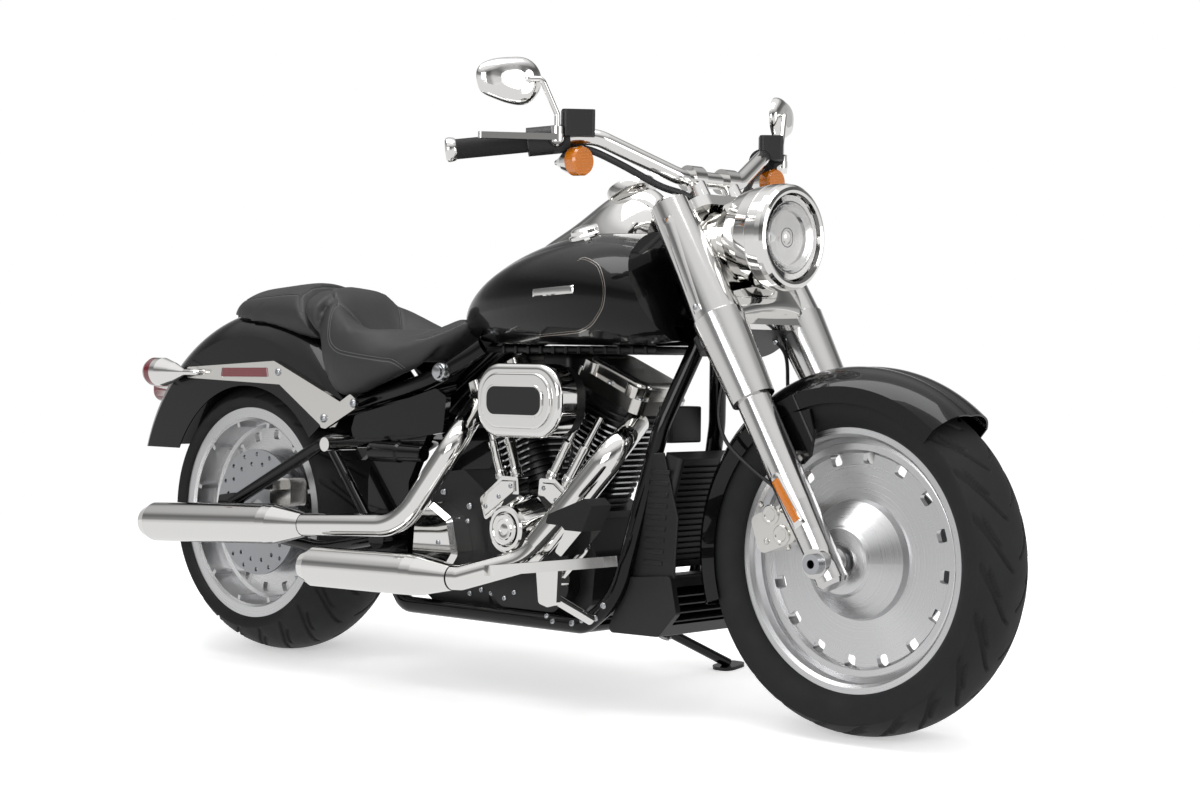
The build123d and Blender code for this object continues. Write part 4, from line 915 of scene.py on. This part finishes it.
def under_clamp(point, normal):
    """Test for the lower clamp behind the bright shroud, in steering coordinates."""
    place = STEERING_BACK @ point
    return place.z < 849 and place.x < 83


refinish("fork_clamps", black_casting, under_clamp)

# ------------------------------------------------------------------ headlamp interior and fork skirt
# Behind the clear cover sit a satin ring, a soft bright bowl and a small projector in a black
# bezel. A plated skirt closes the space under the lamp, clipped between the leg covers.
LAMP_PLACE = (1486.0, 0.0, 921.0)
LAMP_BOWL = 67.6


def lamp_bowl(point, normal):
    """Test for the lamp's open bowl."""
    return point.x > LAMP_PLACE[0] - 63 and hypot(point.y, point.z - LAMP_PLACE[2]) < LAMP_BOWL


refinish("headlamp_shell", soft_silver, lamp_bowl)
LAMP_RING = ((-15.6, 65.4), (-8.2, 67.4), (-7.0, 66.0), (-8.6, 56.0), (-11.0, 50.0), (-38.0, 50.4))
PROJECTOR_BEZEL = ((-29.5, 14.6), (-20.0, 19.0), (-16.0, 19.0), (-15.0, 17.0), (-19.0, 14.5))
PROJECTOR_GLASS = ((-23.8, 9.0), (-18.9, 14.2), (-15.0, 12.0), (-12.5, 7.0), (-11.8, 2.0))
dress("lamp_ring", [lathe(LAMP_PLACE, (1, 0, 0), LAMP_RING, 64)], fork_silver, "steering")
dress("lamp_projector", [lathe(LAMP_PLACE, (1, 0, 0), PROJECTOR_BEZEL, 40)], black_nylon, "steering")
dress("lamp_projector_glass", [lathe(LAMP_PLACE, (1, 0, 0), PROJECTOR_GLASS, 32)], chrome, "steering")

SKIRT_HALF = 92.0
SKIRT_AHEAD = 109.0
SKIRT_BULGE = 13.0
SKIRT_ARCH = 5.0
SKIRT_SLICES = 33
SKIRT_EDGE = (  # ahead of the sheet's face, height along the steering axis
    (-16, 834), (-3, 833), (0, 838), (1, 850), (0.5, 866), (-1, 882), (-3.5, 882), (-2, 866), (-1.6, 850),
    (-2.6, 841), (-4, 836.5), (-16, 837),
)
skirt_points = []
for k in range(SKIRT_SLICES):
    y = SKIRT_HALF * (2 * k / (SKIRT_SLICES - 1) - 1)
    crown = 1 - (y / SKIRT_HALF) ** 2
    for out, height in SKIRT_EDGE:
        skirt_points.append(steer(SKIRT_AHEAD + SKIRT_BULGE * crown + out, y, height + SKIRT_ARCH * crown))
skirt_faces = ring_faces(SKIRT_SLICES, len(SKIRT_EDGE), False, True)
skirt_faces.append(tuple(range(len(SKIRT_EDGE))))
skirt_faces.append(tuple(reversed(range(len(skirt_points) - len(SKIRT_EDGE), len(skirt_points)))))
dress("fork_skirt", [(skirt_points, skirt_faces)], chrome, "steering")

# ------------------------------------------------------------------ dark pieces under the tank
# A moulded wiring tray is clipped under the backbone, the throttle body sits between the cylinders
# and the regulator hangs ahead of them. Moulded panels close the radiator's sides, and enamelled
# sleeves cover the frame rails under the seat.
def soft_block(low, high, edge):
    """Box with chamfered edges between two corners."""
    shape = bmesh.new()
    bmesh.ops.create_cube(shape, size=1.0)
    size = Vector(high) - Vector(low)
    for vertex in shape.verts:
        vertex.co = Vector([c * s for c, s in zip(vertex.co, size)])
    bmesh.ops.bevel(shape, geom=shape.edges[:], offset=edge, segments=3, profile=0.5, affect="EDGES")
    centre = (Vector(high) + Vector(low)) / 2
    points = [centre + vertex.co for vertex in shape.verts]
    faces = [tuple(vertex.index for vertex in face.verts) for face in shape.faces]
    shape.free()
    return points, faces


def flat_bar(outline, low, high, edge):
    """Bar with an outline of (x, z) points between two distances to the side, chamfered outside."""
    centre = Vector((sum(x for x, z in outline) / len(outline), sum(z for x, z in outline) / len(outline)))
    rows = []
    for y, inset in ((low, 0.0), (high - (edge if high > low else -edge), 0.0), (high, edge)):
        row = []
        for x, z in outline:
            inward = (centre - Vector((x, z))).normalized() * (inset * 1.4)
            row.append((x + inward.x, y, z + inward.y))
        rows.append(row)
    count = len(outline)
    faces = ring_faces(3, count, False, True)
    faces += [tuple(range(count)), tuple(reversed(range(2 * count, 3 * count)))]
    return [point for row in rows for point in row], faces


tray = [soft_block((730, -66, 699), (1206, 66, 713), 5)]
for x in range(780, 1180, 36):
    tray.append(soft_block((x, -69, 697), (x + 8, 69, 714), 2))
dress("wiring_tray", tray, black_nylon, "frame")
dress("throttle_body", [
    soft_block((884, -58, 598), (966, 58, 700), 14),
    lathe((925, -66, 640), (0, 1, 0), ((0, 26), (8, 30), (122, 30), (130, 26)), 28),
], black_casting, "frame")
dress("regulator", [soft_block((1196, -46, 524), (1232, 46, 596), 4)], black_nylon, "frame")

PANEL_OUTLINE = ((1168, 262), (1196, 380), (1222, 506), (1262, 508), (1300, 384), (1292, 266))
panels = []
for side in (-1, 1):
    panels.append(flat_bar(PANEL_OUTLINE, side * 99.5, side * 104.0, 2.0))
    for k in range(9):
        z = 290 + 22 * k
        panels.append(soft_block((1214 + 0.1 * (z - 290), min(side * 103, side * 106), z),
                                 (1262 + 0.1 * (z - 290), max(side * 103, side * 106), z + 9), 1.2))
dress("radiator_panels", panels, black_nylon, "frame")

RAIL_COVER = [(292, -108, 570), (434, -111, 597), (562, -112, 627), (635, -108, 651), (700, -98, 684),
              (742, -84, 712)]
rails = [swept(line, 11.0, 16, 9.0, 1.7) for line in (RAIL_COVER, mirrored(RAIL_COVER))]
dress("rail_covers", rails, black_enamel, "frame")

# ------------------------------------------------------------------ screws and bolts
# Bright steel button heads hold the engine covers, lower frame, struts and rocker covers, and a
# round cap stands on each side of the frame below the seat's nose. Turned rings face the cam cover.
ENGINE_NODES = ("crankcase gearbox frame primary_cover gearbox_cover cam_cover rocker_covers side_covers "
                "fender_struts strut_links swingarm")
RIGHT_BOLTS = (  # x, z, head radius
    (1076, 209, 6), (1141, 205, 7), (1121, 179, 7), (1090, 172, 6), (1065, 165, 7), (1012, 164, 6),
    (992, 172, 6), (1080, 247, 6), (861, 196, 6), (790, 199, 6), (722, 193, 6), (756, 203, 6),
    (889, 210, 6), (639, 402, 8), (719, 376, 8), (714, 344, 6), (1071, 323, 7), (680, 300, 6),
    (830, 330, 6), (1040, 180, 5), (146, 651, 9), (416, 586, 10), (317, 551, 10),
)
bolts = []
for x, z, radius in RIGHT_BOLTS:
    for side in (-1, 1):
        if side == 1 and x > 500:
            continue
        place, normal = landing(ENGINE_NODES, (x, side * 400.0, z), (0, -side, 0))
        if place is not None and abs(normal.y) > 0.5:
            bolts.append(button_head(place, normal, radius, 0.62 * radius))
for sign in (-1, 1):
    bore = Vector((sign * sin(BANK), 0.0, cos(BANK)))
    flat = Vector((cos(BANK), 0.0, -sign * sin(BANK)))
    for across, aside in ((-84, -62), (84, -62), (-84, 62), (84, 62), (0, -66), (0, 66)):
        start = CRANK_CENTRE + bore * 600 + flat * across + Vector((0, aside, 0))
        place, normal = landing("rocker_covers", start, -bore)
        if place is not None:
            bolts.append(button_head(place, bore, 6.5, 5.0))
PRIMARY_SCREWS = 14
for k in range(PRIMARY_SCREWS):
    a = 2 * pi * k / PRIMARY_SCREWS
    start = (925 + 230 * cos(a), 400.0, 262 + 118 * sin(a))
    place, normal = landing("primary_cover", start, (0, -1, 0))
    if place is not None and normal.y > 0.6:
        bolts.append(button_head(place, normal, 6.0, 4.0))
FRAME_CAP = ((0, 20), (12, 20), (15, 18), (16, 14), (22, 13), (24, 9), (24.5, 0.2))
for side in (-1, 1):
    bolts.append(lathe((650, side * 112, 657), (0, side, 0), FRAME_CAP, 28))
dress("engine_bolts", bolts, bright_steel, "frame")

CAM_FACE = (932.0, -204.5, 345.0)
CAM_RINGS = ((-1, 33), (2.5, 33), (3.5, 31), (2.0, 29), (2.0, 22), (3.6, 20), (3.6, 13), (2.4, 11),
             (4.2, 6), (4.6, 0.2))
dress("cam_cover_rings", [lathe(CAM_FACE, (0, -1, 0), CAM_RINGS, 40)], chrome, "frame")

# ------------------------------------------------------------------ lifter blocks
# Each plated lifter block has a raised, screwed cover, and every push rod tube stands in a collar
# and is joined part of the way up.
LIFTER_COVER = ((961, 417), (1047, 362), (1058, 396), (998, 438), (963, 438))
LIFTER_SCREWS = ((972, 427), (1044, 382), (1006, 404))
TUBE_FEET = (((1012, -116, 428), (1088, -92, 572)), ((968, -116, 436), (1040, -92, 582)))
TUBE_JOINT = 0.55
FOOT_COLLAR = ((0, 13.6), (13, 13.6), (15.5, 12.4), (16.5, 9.0))
JOINT_COLLAR = ((-7, 9.0), (-6, 12.2), (5, 12.2), (8, 10.0), (9, 6.0))


def on_bank(x, sign):
    """Place along the machine of a point drawn for the front bank, on the front or rear one."""
    return CRANK_CENTRE.x + sign * (x - CRANK_CENTRE.x)


lifter_parts = []
lifter_screws = []
for sign in (1, -1):
    cover = [(on_bank(x, sign), z) for x, z in LIFTER_COVER]
    lifter_parts.append(flat_bar(cover, -130.6, -135.5, 2.0))
    for x, z in LIFTER_SCREWS:
        place = Vector((on_bank(x, sign), -135.3, z))
        lifter_screws.append(button_head(place, Vector((0, -1, 0)), 5.2, 3.6))
    for foot, head in TUBE_FEET:
        low = Vector((on_bank(foot[0], sign), foot[1], foot[2]))
        high = Vector((on_bank(head[0], sign), head[1], head[2]))
        way = (high - low).normalized()
        lifter_parts.append(lathe(low + way * 12, way, FOOT_COLLAR, 24))
        lifter_parts.append(lathe(low + (high - low) * TUBE_JOINT, way, JOINT_COLLAR, 24))
dress("lifter_covers", lifter_parts, chrome, "frame")
dress("lifter_screws", lifter_screws, bright_steel, "frame")

# ------------------------------------------------------------------ air cleaner insert
# A bare black plate with a bright rim fills the middle of the air cleaner's face.
def stadium(centre_x, centre_z, long, tall, corner, steps=7):
    """Outline of a plate with round corners, as (x, z) points."""
    outline = []
    for turn_index, (sx, sz) in enumerate(((1, 1), (-1, 1), (-1, -1), (1, -1))):
        for k in range(steps + 1):
            a = (turn_index + k / steps) * pi / 2
            outline.append((centre_x + sx * (long / 2 - corner) + corner * cos(a),
                            centre_z + sz * (tall / 2 - corner) + corner * sin(a)))
    return outline


rim = flat_bar(stadium(966, 603, 158, 64, 24), -215.5, -219.4, 1.0)
dress("air_cleaner_rim", [rim], chrome, "frame")
insert = flat_bar(stadium(966, 603, 150, 56, 21), -217.0, -220.6, 1.0)
dress("air_cleaner_insert", [insert], black_nylon, "frame")

# ------------------------------------------------------------------ strut reflectors
# Dyed acrylic bars sit in pockets of the silver fender struts, one each side.
REFLECTOR_OUTLINE = ((-61, 638), (-58, 658), (-52, 659), (100, 660.5), (106, 659), (109.5, 640), (104, 639.5))
red_bars = [flat_bar(REFLECTOR_OUTLINE, side * 147.5, side * 150.2, 1.2) for side in (-1, 1)]
dress("strut_reflectors", red_bars, red_lens, "frame")

# ------------------------------------------------------------------ fork trim
# Amber reflector bars in bright frames sit on the sliders' fronts, and a pressed strip with one
# screw closes each leg cover's side.
FRAME_LINE = ((1571, -154, 480), (1602.5, -154, 434), (1634, -153, 388))
AMBER_LINE = ((1574, -154, 475), (1602.5, -154, 434), (1631, -153, 393))
STRIP_LINE = ((1310, -160, 956), (1354, -164, 866), (1399, -167, 776))
amber_bars = []
frames_round = []
strips = []
screws = []
for side in (-1, 1):
    frame_line, amber_line, strip_line = (
        [(x, -side * y, z) for x, y, z in line] for line in (FRAME_LINE, AMBER_LINE, STRIP_LINE))
    way = Vector((-0.25, -side * 0.96, -0.1)).normalized()
    frames_round.append(laid_strip("fork_legs", frame_line, way, 25.0, 3.2))
    amber_bars.append(laid_strip("fork_legs", amber_line, way, 19.0, 5.0))
    way = Vector((0.30, -side * 0.94, 0.12)).normalized()
    strips.append(laid_strip("fork_legs fork_clamps", strip_line, way, 21.0, 2.6, 8.0))
    place, normal = landing("fork_legs fork_clamps", Vector((1394, side * 167, 786)) - way * 60, way)
    if place is not None:
        screws.append(button_head(place + normal * 2.4, normal, 5.5, 3.4))
dress("fork_reflectors", amber_bars, amber_lens, "steering")
dress("reflector_frames", frames_round, chrome, "steering")
dress("fork_cover_strips", strips, fork_silver, "steering")
dress("fork_cover_screws", screws, bright_steel, "steering")

# ------------------------------------------------------------------ bar ends, calipers and fender brackets
# Flared plated caps close the grips. Each front caliper shows its piston bosses, bolts and pad pin, and
# black brackets tie the front fender to lugs on the sliders.
GRIP_END = Vector((1042, -445, 1078))
GRIP_WAY = Vector((-0.664, -0.738, -0.117)).normalized()
GRIP_CAP = ((0, 19.5), (3, 22), (12, 23.5), (17, 22.5), (20, 18), (21, 0.2))
caps = []
for side in (-1, 1):
    end = Vector((GRIP_END.x, -side * GRIP_END.y, GRIP_END.z))
    way = Vector((GRIP_WAY.x, -side * GRIP_WAY.y, GRIP_WAY.z))
    caps.append(lathe(end + way * 6, way, GRIP_CAP, 32))
dress("grip_caps", caps, chrome, "steering")

caliper_bits = []
for side in (-1, 1):
    for x, z, radius in ((1519, 402, 19), (1545, 366, 19)):
        caliper_bits.append(lathe((x, side * 92, z), (0, side, 0), (
            (0, radius), (4, radius), (6, radius - 2), (6, radius - 6), (4.4, radius - 8), (4.4, 0.2)), 28))
    for x, z in ((1496, 420), (1568, 402), (1510, 352), (1562, 344)):
        caliper_bits.append(button_head(Vector((x, side * 94, z)), Vector((0, side, 0)), 6.0, 5.0))
dress("caliper_bosses", caliper_bits, soft_silver, "steering")

BRACKET_OUTLINE = ((1519, 566), (1556, 594), (1600, 600), (1612, 560), (1604, 514), (1586, 498),
                   (1566, 496), (1546, 520))
brackets = [flat_bar(BRACKET_OUTLINE, side * 81.0, side * 87.0, 1.5) for side in (-1, 1)]
dress("fender_brackets", brackets, black_enamel, "steering")
FENDER_LUG = ((-2, 11), (16, 11), (20, 9), (20, 5), (16, 4.5), (16, 0.2))
lugs = [lathe((1578, side * 86, 512), (0, side, 0), FENDER_LUG, 24) for side in (-1, 1)]
dress("fender_lugs", lugs, soft_silver, "steering")

# ------------------------------------------------------------------ hoses and cables
# Brake hoses run in black braided sleeves from the lower clamp to the calipers, and sleeved looms
# follow the underside of the bar from both switch housings down to the steering head.
hose_sleeve, tree, shader = finish("hose_sleeve", "#1b1b1c", roughness=0.4)
weave = add(tree, "ShaderNodeTexWave", {"Scale": 180.0})
relief(tree, shader, weave.outputs["Fac"], 0.3, 0.0002)
shade_range(tree, shader, weave.outputs["Fac"], "Roughness", 0.35, 0.5)
BRAKE_HOSE = [(1392, -60, 735), (1408, -86, 700), (1404, -100, 640), (1400, -104, 580), (1424, -108, 532),
              (1485, -112, 488), (1538, -112, 456), (1562, -104, 428)]
hoses = [swept(BRAKE_HOSE, 3.6, 10, 6.0), swept(mirrored(BRAKE_HOSE), 3.6, 10, 6.0)]
BAR_LOOM = [(1176, -296, 1080), (1202, -262, 1082), (1228, -200, 1058), (1266, -130, 1020), (1290, -72, 1002),
            (1288, -40, 975), (1300, -30, 930)]
hoses += [swept(BAR_LOOM, 7.0, 12, 7.0), swept(mirrored(BAR_LOOM), 7.0, 12, 7.0)]
dress("hoses_and_looms", hoses, hose_sleeve, "steering")
UPPER_FITTING = ((-8, 7), (0, 7), (2, 5.5), (16, 5.5), (18, 4))
LOWER_FITTING = ((-6, 7), (4, 7), (5, 5.5), (18, 5.5), (19, 4))
fittings = []
for side in (-1, 1):
    fittings.append(lathe((1392, side * 60, 735), (16, side * 26, -35), UPPER_FITTING, 12))
    fittings.append(lathe((1562, side * 104, 428), (-24, side * -8, 28), LOWER_FITTING, 12))
dress("hose_fittings", fittings, bright_steel, "steering")

# ------------------------------------------------------------------ studio
# White floor and surround, a wide soft box overhead, a key at the right front and a fill ahead,
# which draw the highlights along tank and exhaust. The camera stands at the right front.
CAMERA_PLACE = (4017.18, -3270.69, 677.22)
CAMERA_YAW = 0.745389
CAMERA_PITCH = 0.016461
CAMERA_ROLL = -0.011716
LENS_PIXELS = 2177.72
PICTURE_WIDTH = 1200.0

ahead = Vector((-sin(CAMERA_YAW) * cos(CAMERA_PITCH), cos(CAMERA_YAW) * cos(CAMERA_PITCH),
                -sin(CAMERA_PITCH)))
across = ahead.cross(Vector((0, 0, 1))).normalized()
upward = across.cross(ahead)
roll = Matrix.Rotation(CAMERA_ROLL, 3, ahead)
across = roll @ across
upward = roll @ upward
turn = Matrix((across, upward, -ahead)).transposed().to_4x4()
camera_data = bpy.data.cameras.new("camera")
camera_data.sensor_width = 36.0
camera_data.sensor_fit = "HORIZONTAL"
camera_data.lens = 36.0 * LENS_PIXELS / PICTURE_WIDTH
camera_data.clip_end = 100.0
camera = bpy.data.objects.new("camera", camera_data)
bpy.context.collection.objects.link(camera)
camera_place = Matrix.Translation(MACHINE @ Vector(CAMERA_PLACE))
camera.matrix_world = camera_place @ Matrix.Rotation(-LEAN, 4, "X") @ turn
bpy.context.scene.camera = camera

FLOOR_REACH = 30.0
FLOOR_LIFT = 0.42
FLOOR_IN_METAL = 0.85
FADE_FROM = 1.7
FADE_TO = 3.6


def studio_floor_white():
    """Matt white that takes the machine's shadow, and fades into the plain backdrop further out.

    Metal and glass see the same white that the camera sees.
    """
    material = bpy.data.materials.new("studio_floor")
    material.use_nodes = True
    tree = material.node_tree
    tree.nodes.clear()
    ways = add(tree, "ShaderNodeLightPath")
    matt = add(tree, "ShaderNodeBsdfDiffuse", {"Color": linear("#f6f6f6")})
    lift = add(tree, "ShaderNodeEmission", {"Color": linear("#ffffff"), "Strength": FLOOR_LIFT})
    lifted = add(tree, "ShaderNodeAddShader", None, {0: matt.outputs["BSDF"], 1: lift.outputs["Emission"]})
    backdrop = add(tree, "ShaderNodeEmission", {"Color": linear("#ffffff"), "Strength": 1.0})
    place = add(tree, "ShaderNodeTexCoord")
    apart = add(tree, "ShaderNodeVectorMath", {"operation": "LENGTH"}, {0: place.outputs["Object"]})
    away = add(tree, "ShaderNodeMapRange", {"From Min": FADE_FROM, "From Max": FADE_TO},
               {"Value": apart.outputs["Value"]})
    for_camera = add(tree, "ShaderNodeMixShader", None,
                     {0: away.outputs["Result"], 1: lifted.outputs["Shader"],
                      2: backdrop.outputs["Emission"]})
    in_metal = add(tree, "ShaderNodeEmission", {"Color": linear("#ffffff"), "Strength": FLOOR_IN_METAL})
    seen = add(tree, "ShaderNodeMath", {"operation": "MAXIMUM"},
               {0: ways.outputs["Is Glossy Ray"], 1: ways.outputs["Is Transmission Ray"]})
    matt_or_metal = add(tree, "ShaderNodeMixShader", None,
                        {0: seen.outputs["Value"], 1: matt.outputs["BSDF"], 2: in_metal.outputs["Emission"]})
    both = add(tree, "ShaderNodeMixShader", None,
               {0: ways.outputs["Is Camera Ray"], 1: matt_or_metal.outputs["Shader"],
                2: for_camera.outputs["Shader"]})
    out = add(tree, "ShaderNodeOutputMaterial")
    tree.links.new(both.outputs["Shader"], out.inputs["Surface"])
    return material


floor_mesh = bpy.data.meshes.new("studio_floor")
floor_corners = [(x * FLOOR_REACH, y * FLOOR_REACH, 0.0) for x, y in ((-1, -1), (1, -1), (1, 1), (-1, 1))]
floor_mesh.from_pydata(floor_corners, [], [(0, 1, 2, 3)])
floor_mesh.materials.append(studio_floor_white())
studio_floor = bpy.data.objects.new("studio_floor", floor_mesh)
bpy.context.collection.objects.link(studio_floor)

# The surround is white to the eye. Metal sees a room: pale at the horizon, grey panels part of the
# way up, and a white ceiling.
ROOM_TONES = ((0.0, "#f4f4f4"), (0.1, "#e6e6e6"), (0.22, "#989898"), (0.38, "#7c7c7c"), (0.54, "#cacaca"),
              (0.72, "#f8f8f8"), (1.0, "#ffffff"))
PANEL_TONES = ((0.0, "#d0d0d0"), (0.14, "#f8f8f8"), (0.24, "#ffffff"), (0.30, "#ffffff"), (0.345, "#b4b4b4"),
               (0.42, "#bcbcbc"), (0.46, "#ffffff"), (0.54, "#ffffff"), (0.6, "#bcbcbc"), (0.75, "#c8c8c8"),
               (0.88, "#ffffff"), (1.0, "#d0d0d0"))
world = bpy.data.worlds.new("studio_world")
world.use_nodes = True
bpy.context.scene.world = world
tree = world.node_tree
tree.nodes.clear()
ways = add(tree, "ShaderNodeLightPath")
lit = add(tree, "ShaderNodeBackground", {"Color": linear("#f4f4f4"), "Strength": 0.8})
place = add(tree, "ShaderNodeTexCoord")
split = add(tree, "ShaderNodeSeparateXYZ", None, {"Vector": place.outputs["Generated"]})


def tone_ramp(tree, source, stops):
    """Ramp of tones over a value."""
    ramp = add(tree, "ShaderNodeValToRGB", None, {"Fac": source})
    ramp.color_ramp.interpolation = "EASE"
    while len(ramp.color_ramp.elements) < len(stops):
        ramp.color_ramp.elements.new(0.5)
    for element, (height, tone) in zip(ramp.color_ramp.elements, stops):
        element.position = height
        element.color = linear(tone)
    return ramp


tones = tone_ramp(tree, split.outputs["Z"], ROOM_TONES)
angle = add(tree, "ShaderNodeMath", {"operation": "ARCTAN2"}, {0: split.outputs["Y"], 1: split.outputs["X"]})
share = add(tree, "ShaderNodeMapRange", {"From Min": -pi, "From Max": pi}, {"Value": angle.outputs["Value"]})
panels = tone_ramp(tree, share.outputs["Result"], PANEL_TONES)
both_tones = add(tree, "ShaderNodeMixRGB", {"blend_type": "MULTIPLY", "Fac": 1.0},
                 {"Color1": tones.outputs["Color"], "Color2": panels.outputs["Color"]})
ceiling = add(tree, "ShaderNodeMapRange", {"From Min": 0.35, "From Max": 0.7}, {"Value": split.outputs["Z"]})
room_tone = add(tree, "ShaderNodeMixRGB", None,
                {"Fac": ceiling.outputs["Result"], "Color1": both_tones.outputs["Color"],
                 "Color2": tones.outputs["Color"]})
room = add(tree, "ShaderNodeBackground", {"Strength": 1.0}, {"Color": room_tone.outputs["Color"]})
backdrop = add(tree, "ShaderNodeBackground", {"Color": linear("#ffffff"), "Strength": 1.0})
for_metal = add(tree, "ShaderNodeMixShader", None,
                {0: ways.outputs["Is Glossy Ray"], 1: lit.outputs["Background"],
                 2: room.outputs["Background"]})
shown = add(tree, "ShaderNodeMath", {"operation": "MAXIMUM"},
            {0: ways.outputs["Is Camera Ray"], 1: ways.outputs["Is Transmission Ray"]})
mix = add(tree, "ShaderNodeMixShader", None,
          {0: shown.outputs["Value"], 1: for_metal.outputs["Shader"], 2: backdrop.outputs["Background"]})
out = add(tree, "ShaderNodeOutputWorld")
tree.links.new(mix.outputs["Shader"], out.inputs["Surface"])


def soft_box(name, place, target, width, height, watts):
    """Area lamp that points at a target."""
    data = bpy.data.lights.new(name, "AREA")
    data.shape = "RECTANGLE"
    data.size = width
    data.size_y = height
    data.energy = watts
    made = bpy.data.objects.new(name, data)
    bpy.context.collection.objects.link(made)
    made.location = place
    made.rotation_euler = (Vector(target) - Vector(place)).to_track_quat("-Z", "Y").to_euler()


soft_box("overhead", (0.2, -0.4, 3.4), (0.0, 0.0, 0.4), 3.4, 1.6, 70.0)
soft_box("key", (1.6, -3.6, 1.9), (0.1, 0.0, 0.5), 2.2, 1.6, 45.0)
soft_box("front_fill", (4.2, 0.6, 1.4), (0.4, 0.0, 0.5), 1.6, 2.0, 30.0)

# ------------------------------------------------------------------ wrap up
scene = bpy.context.scene
scene.view_settings.view_transform = "Standard"
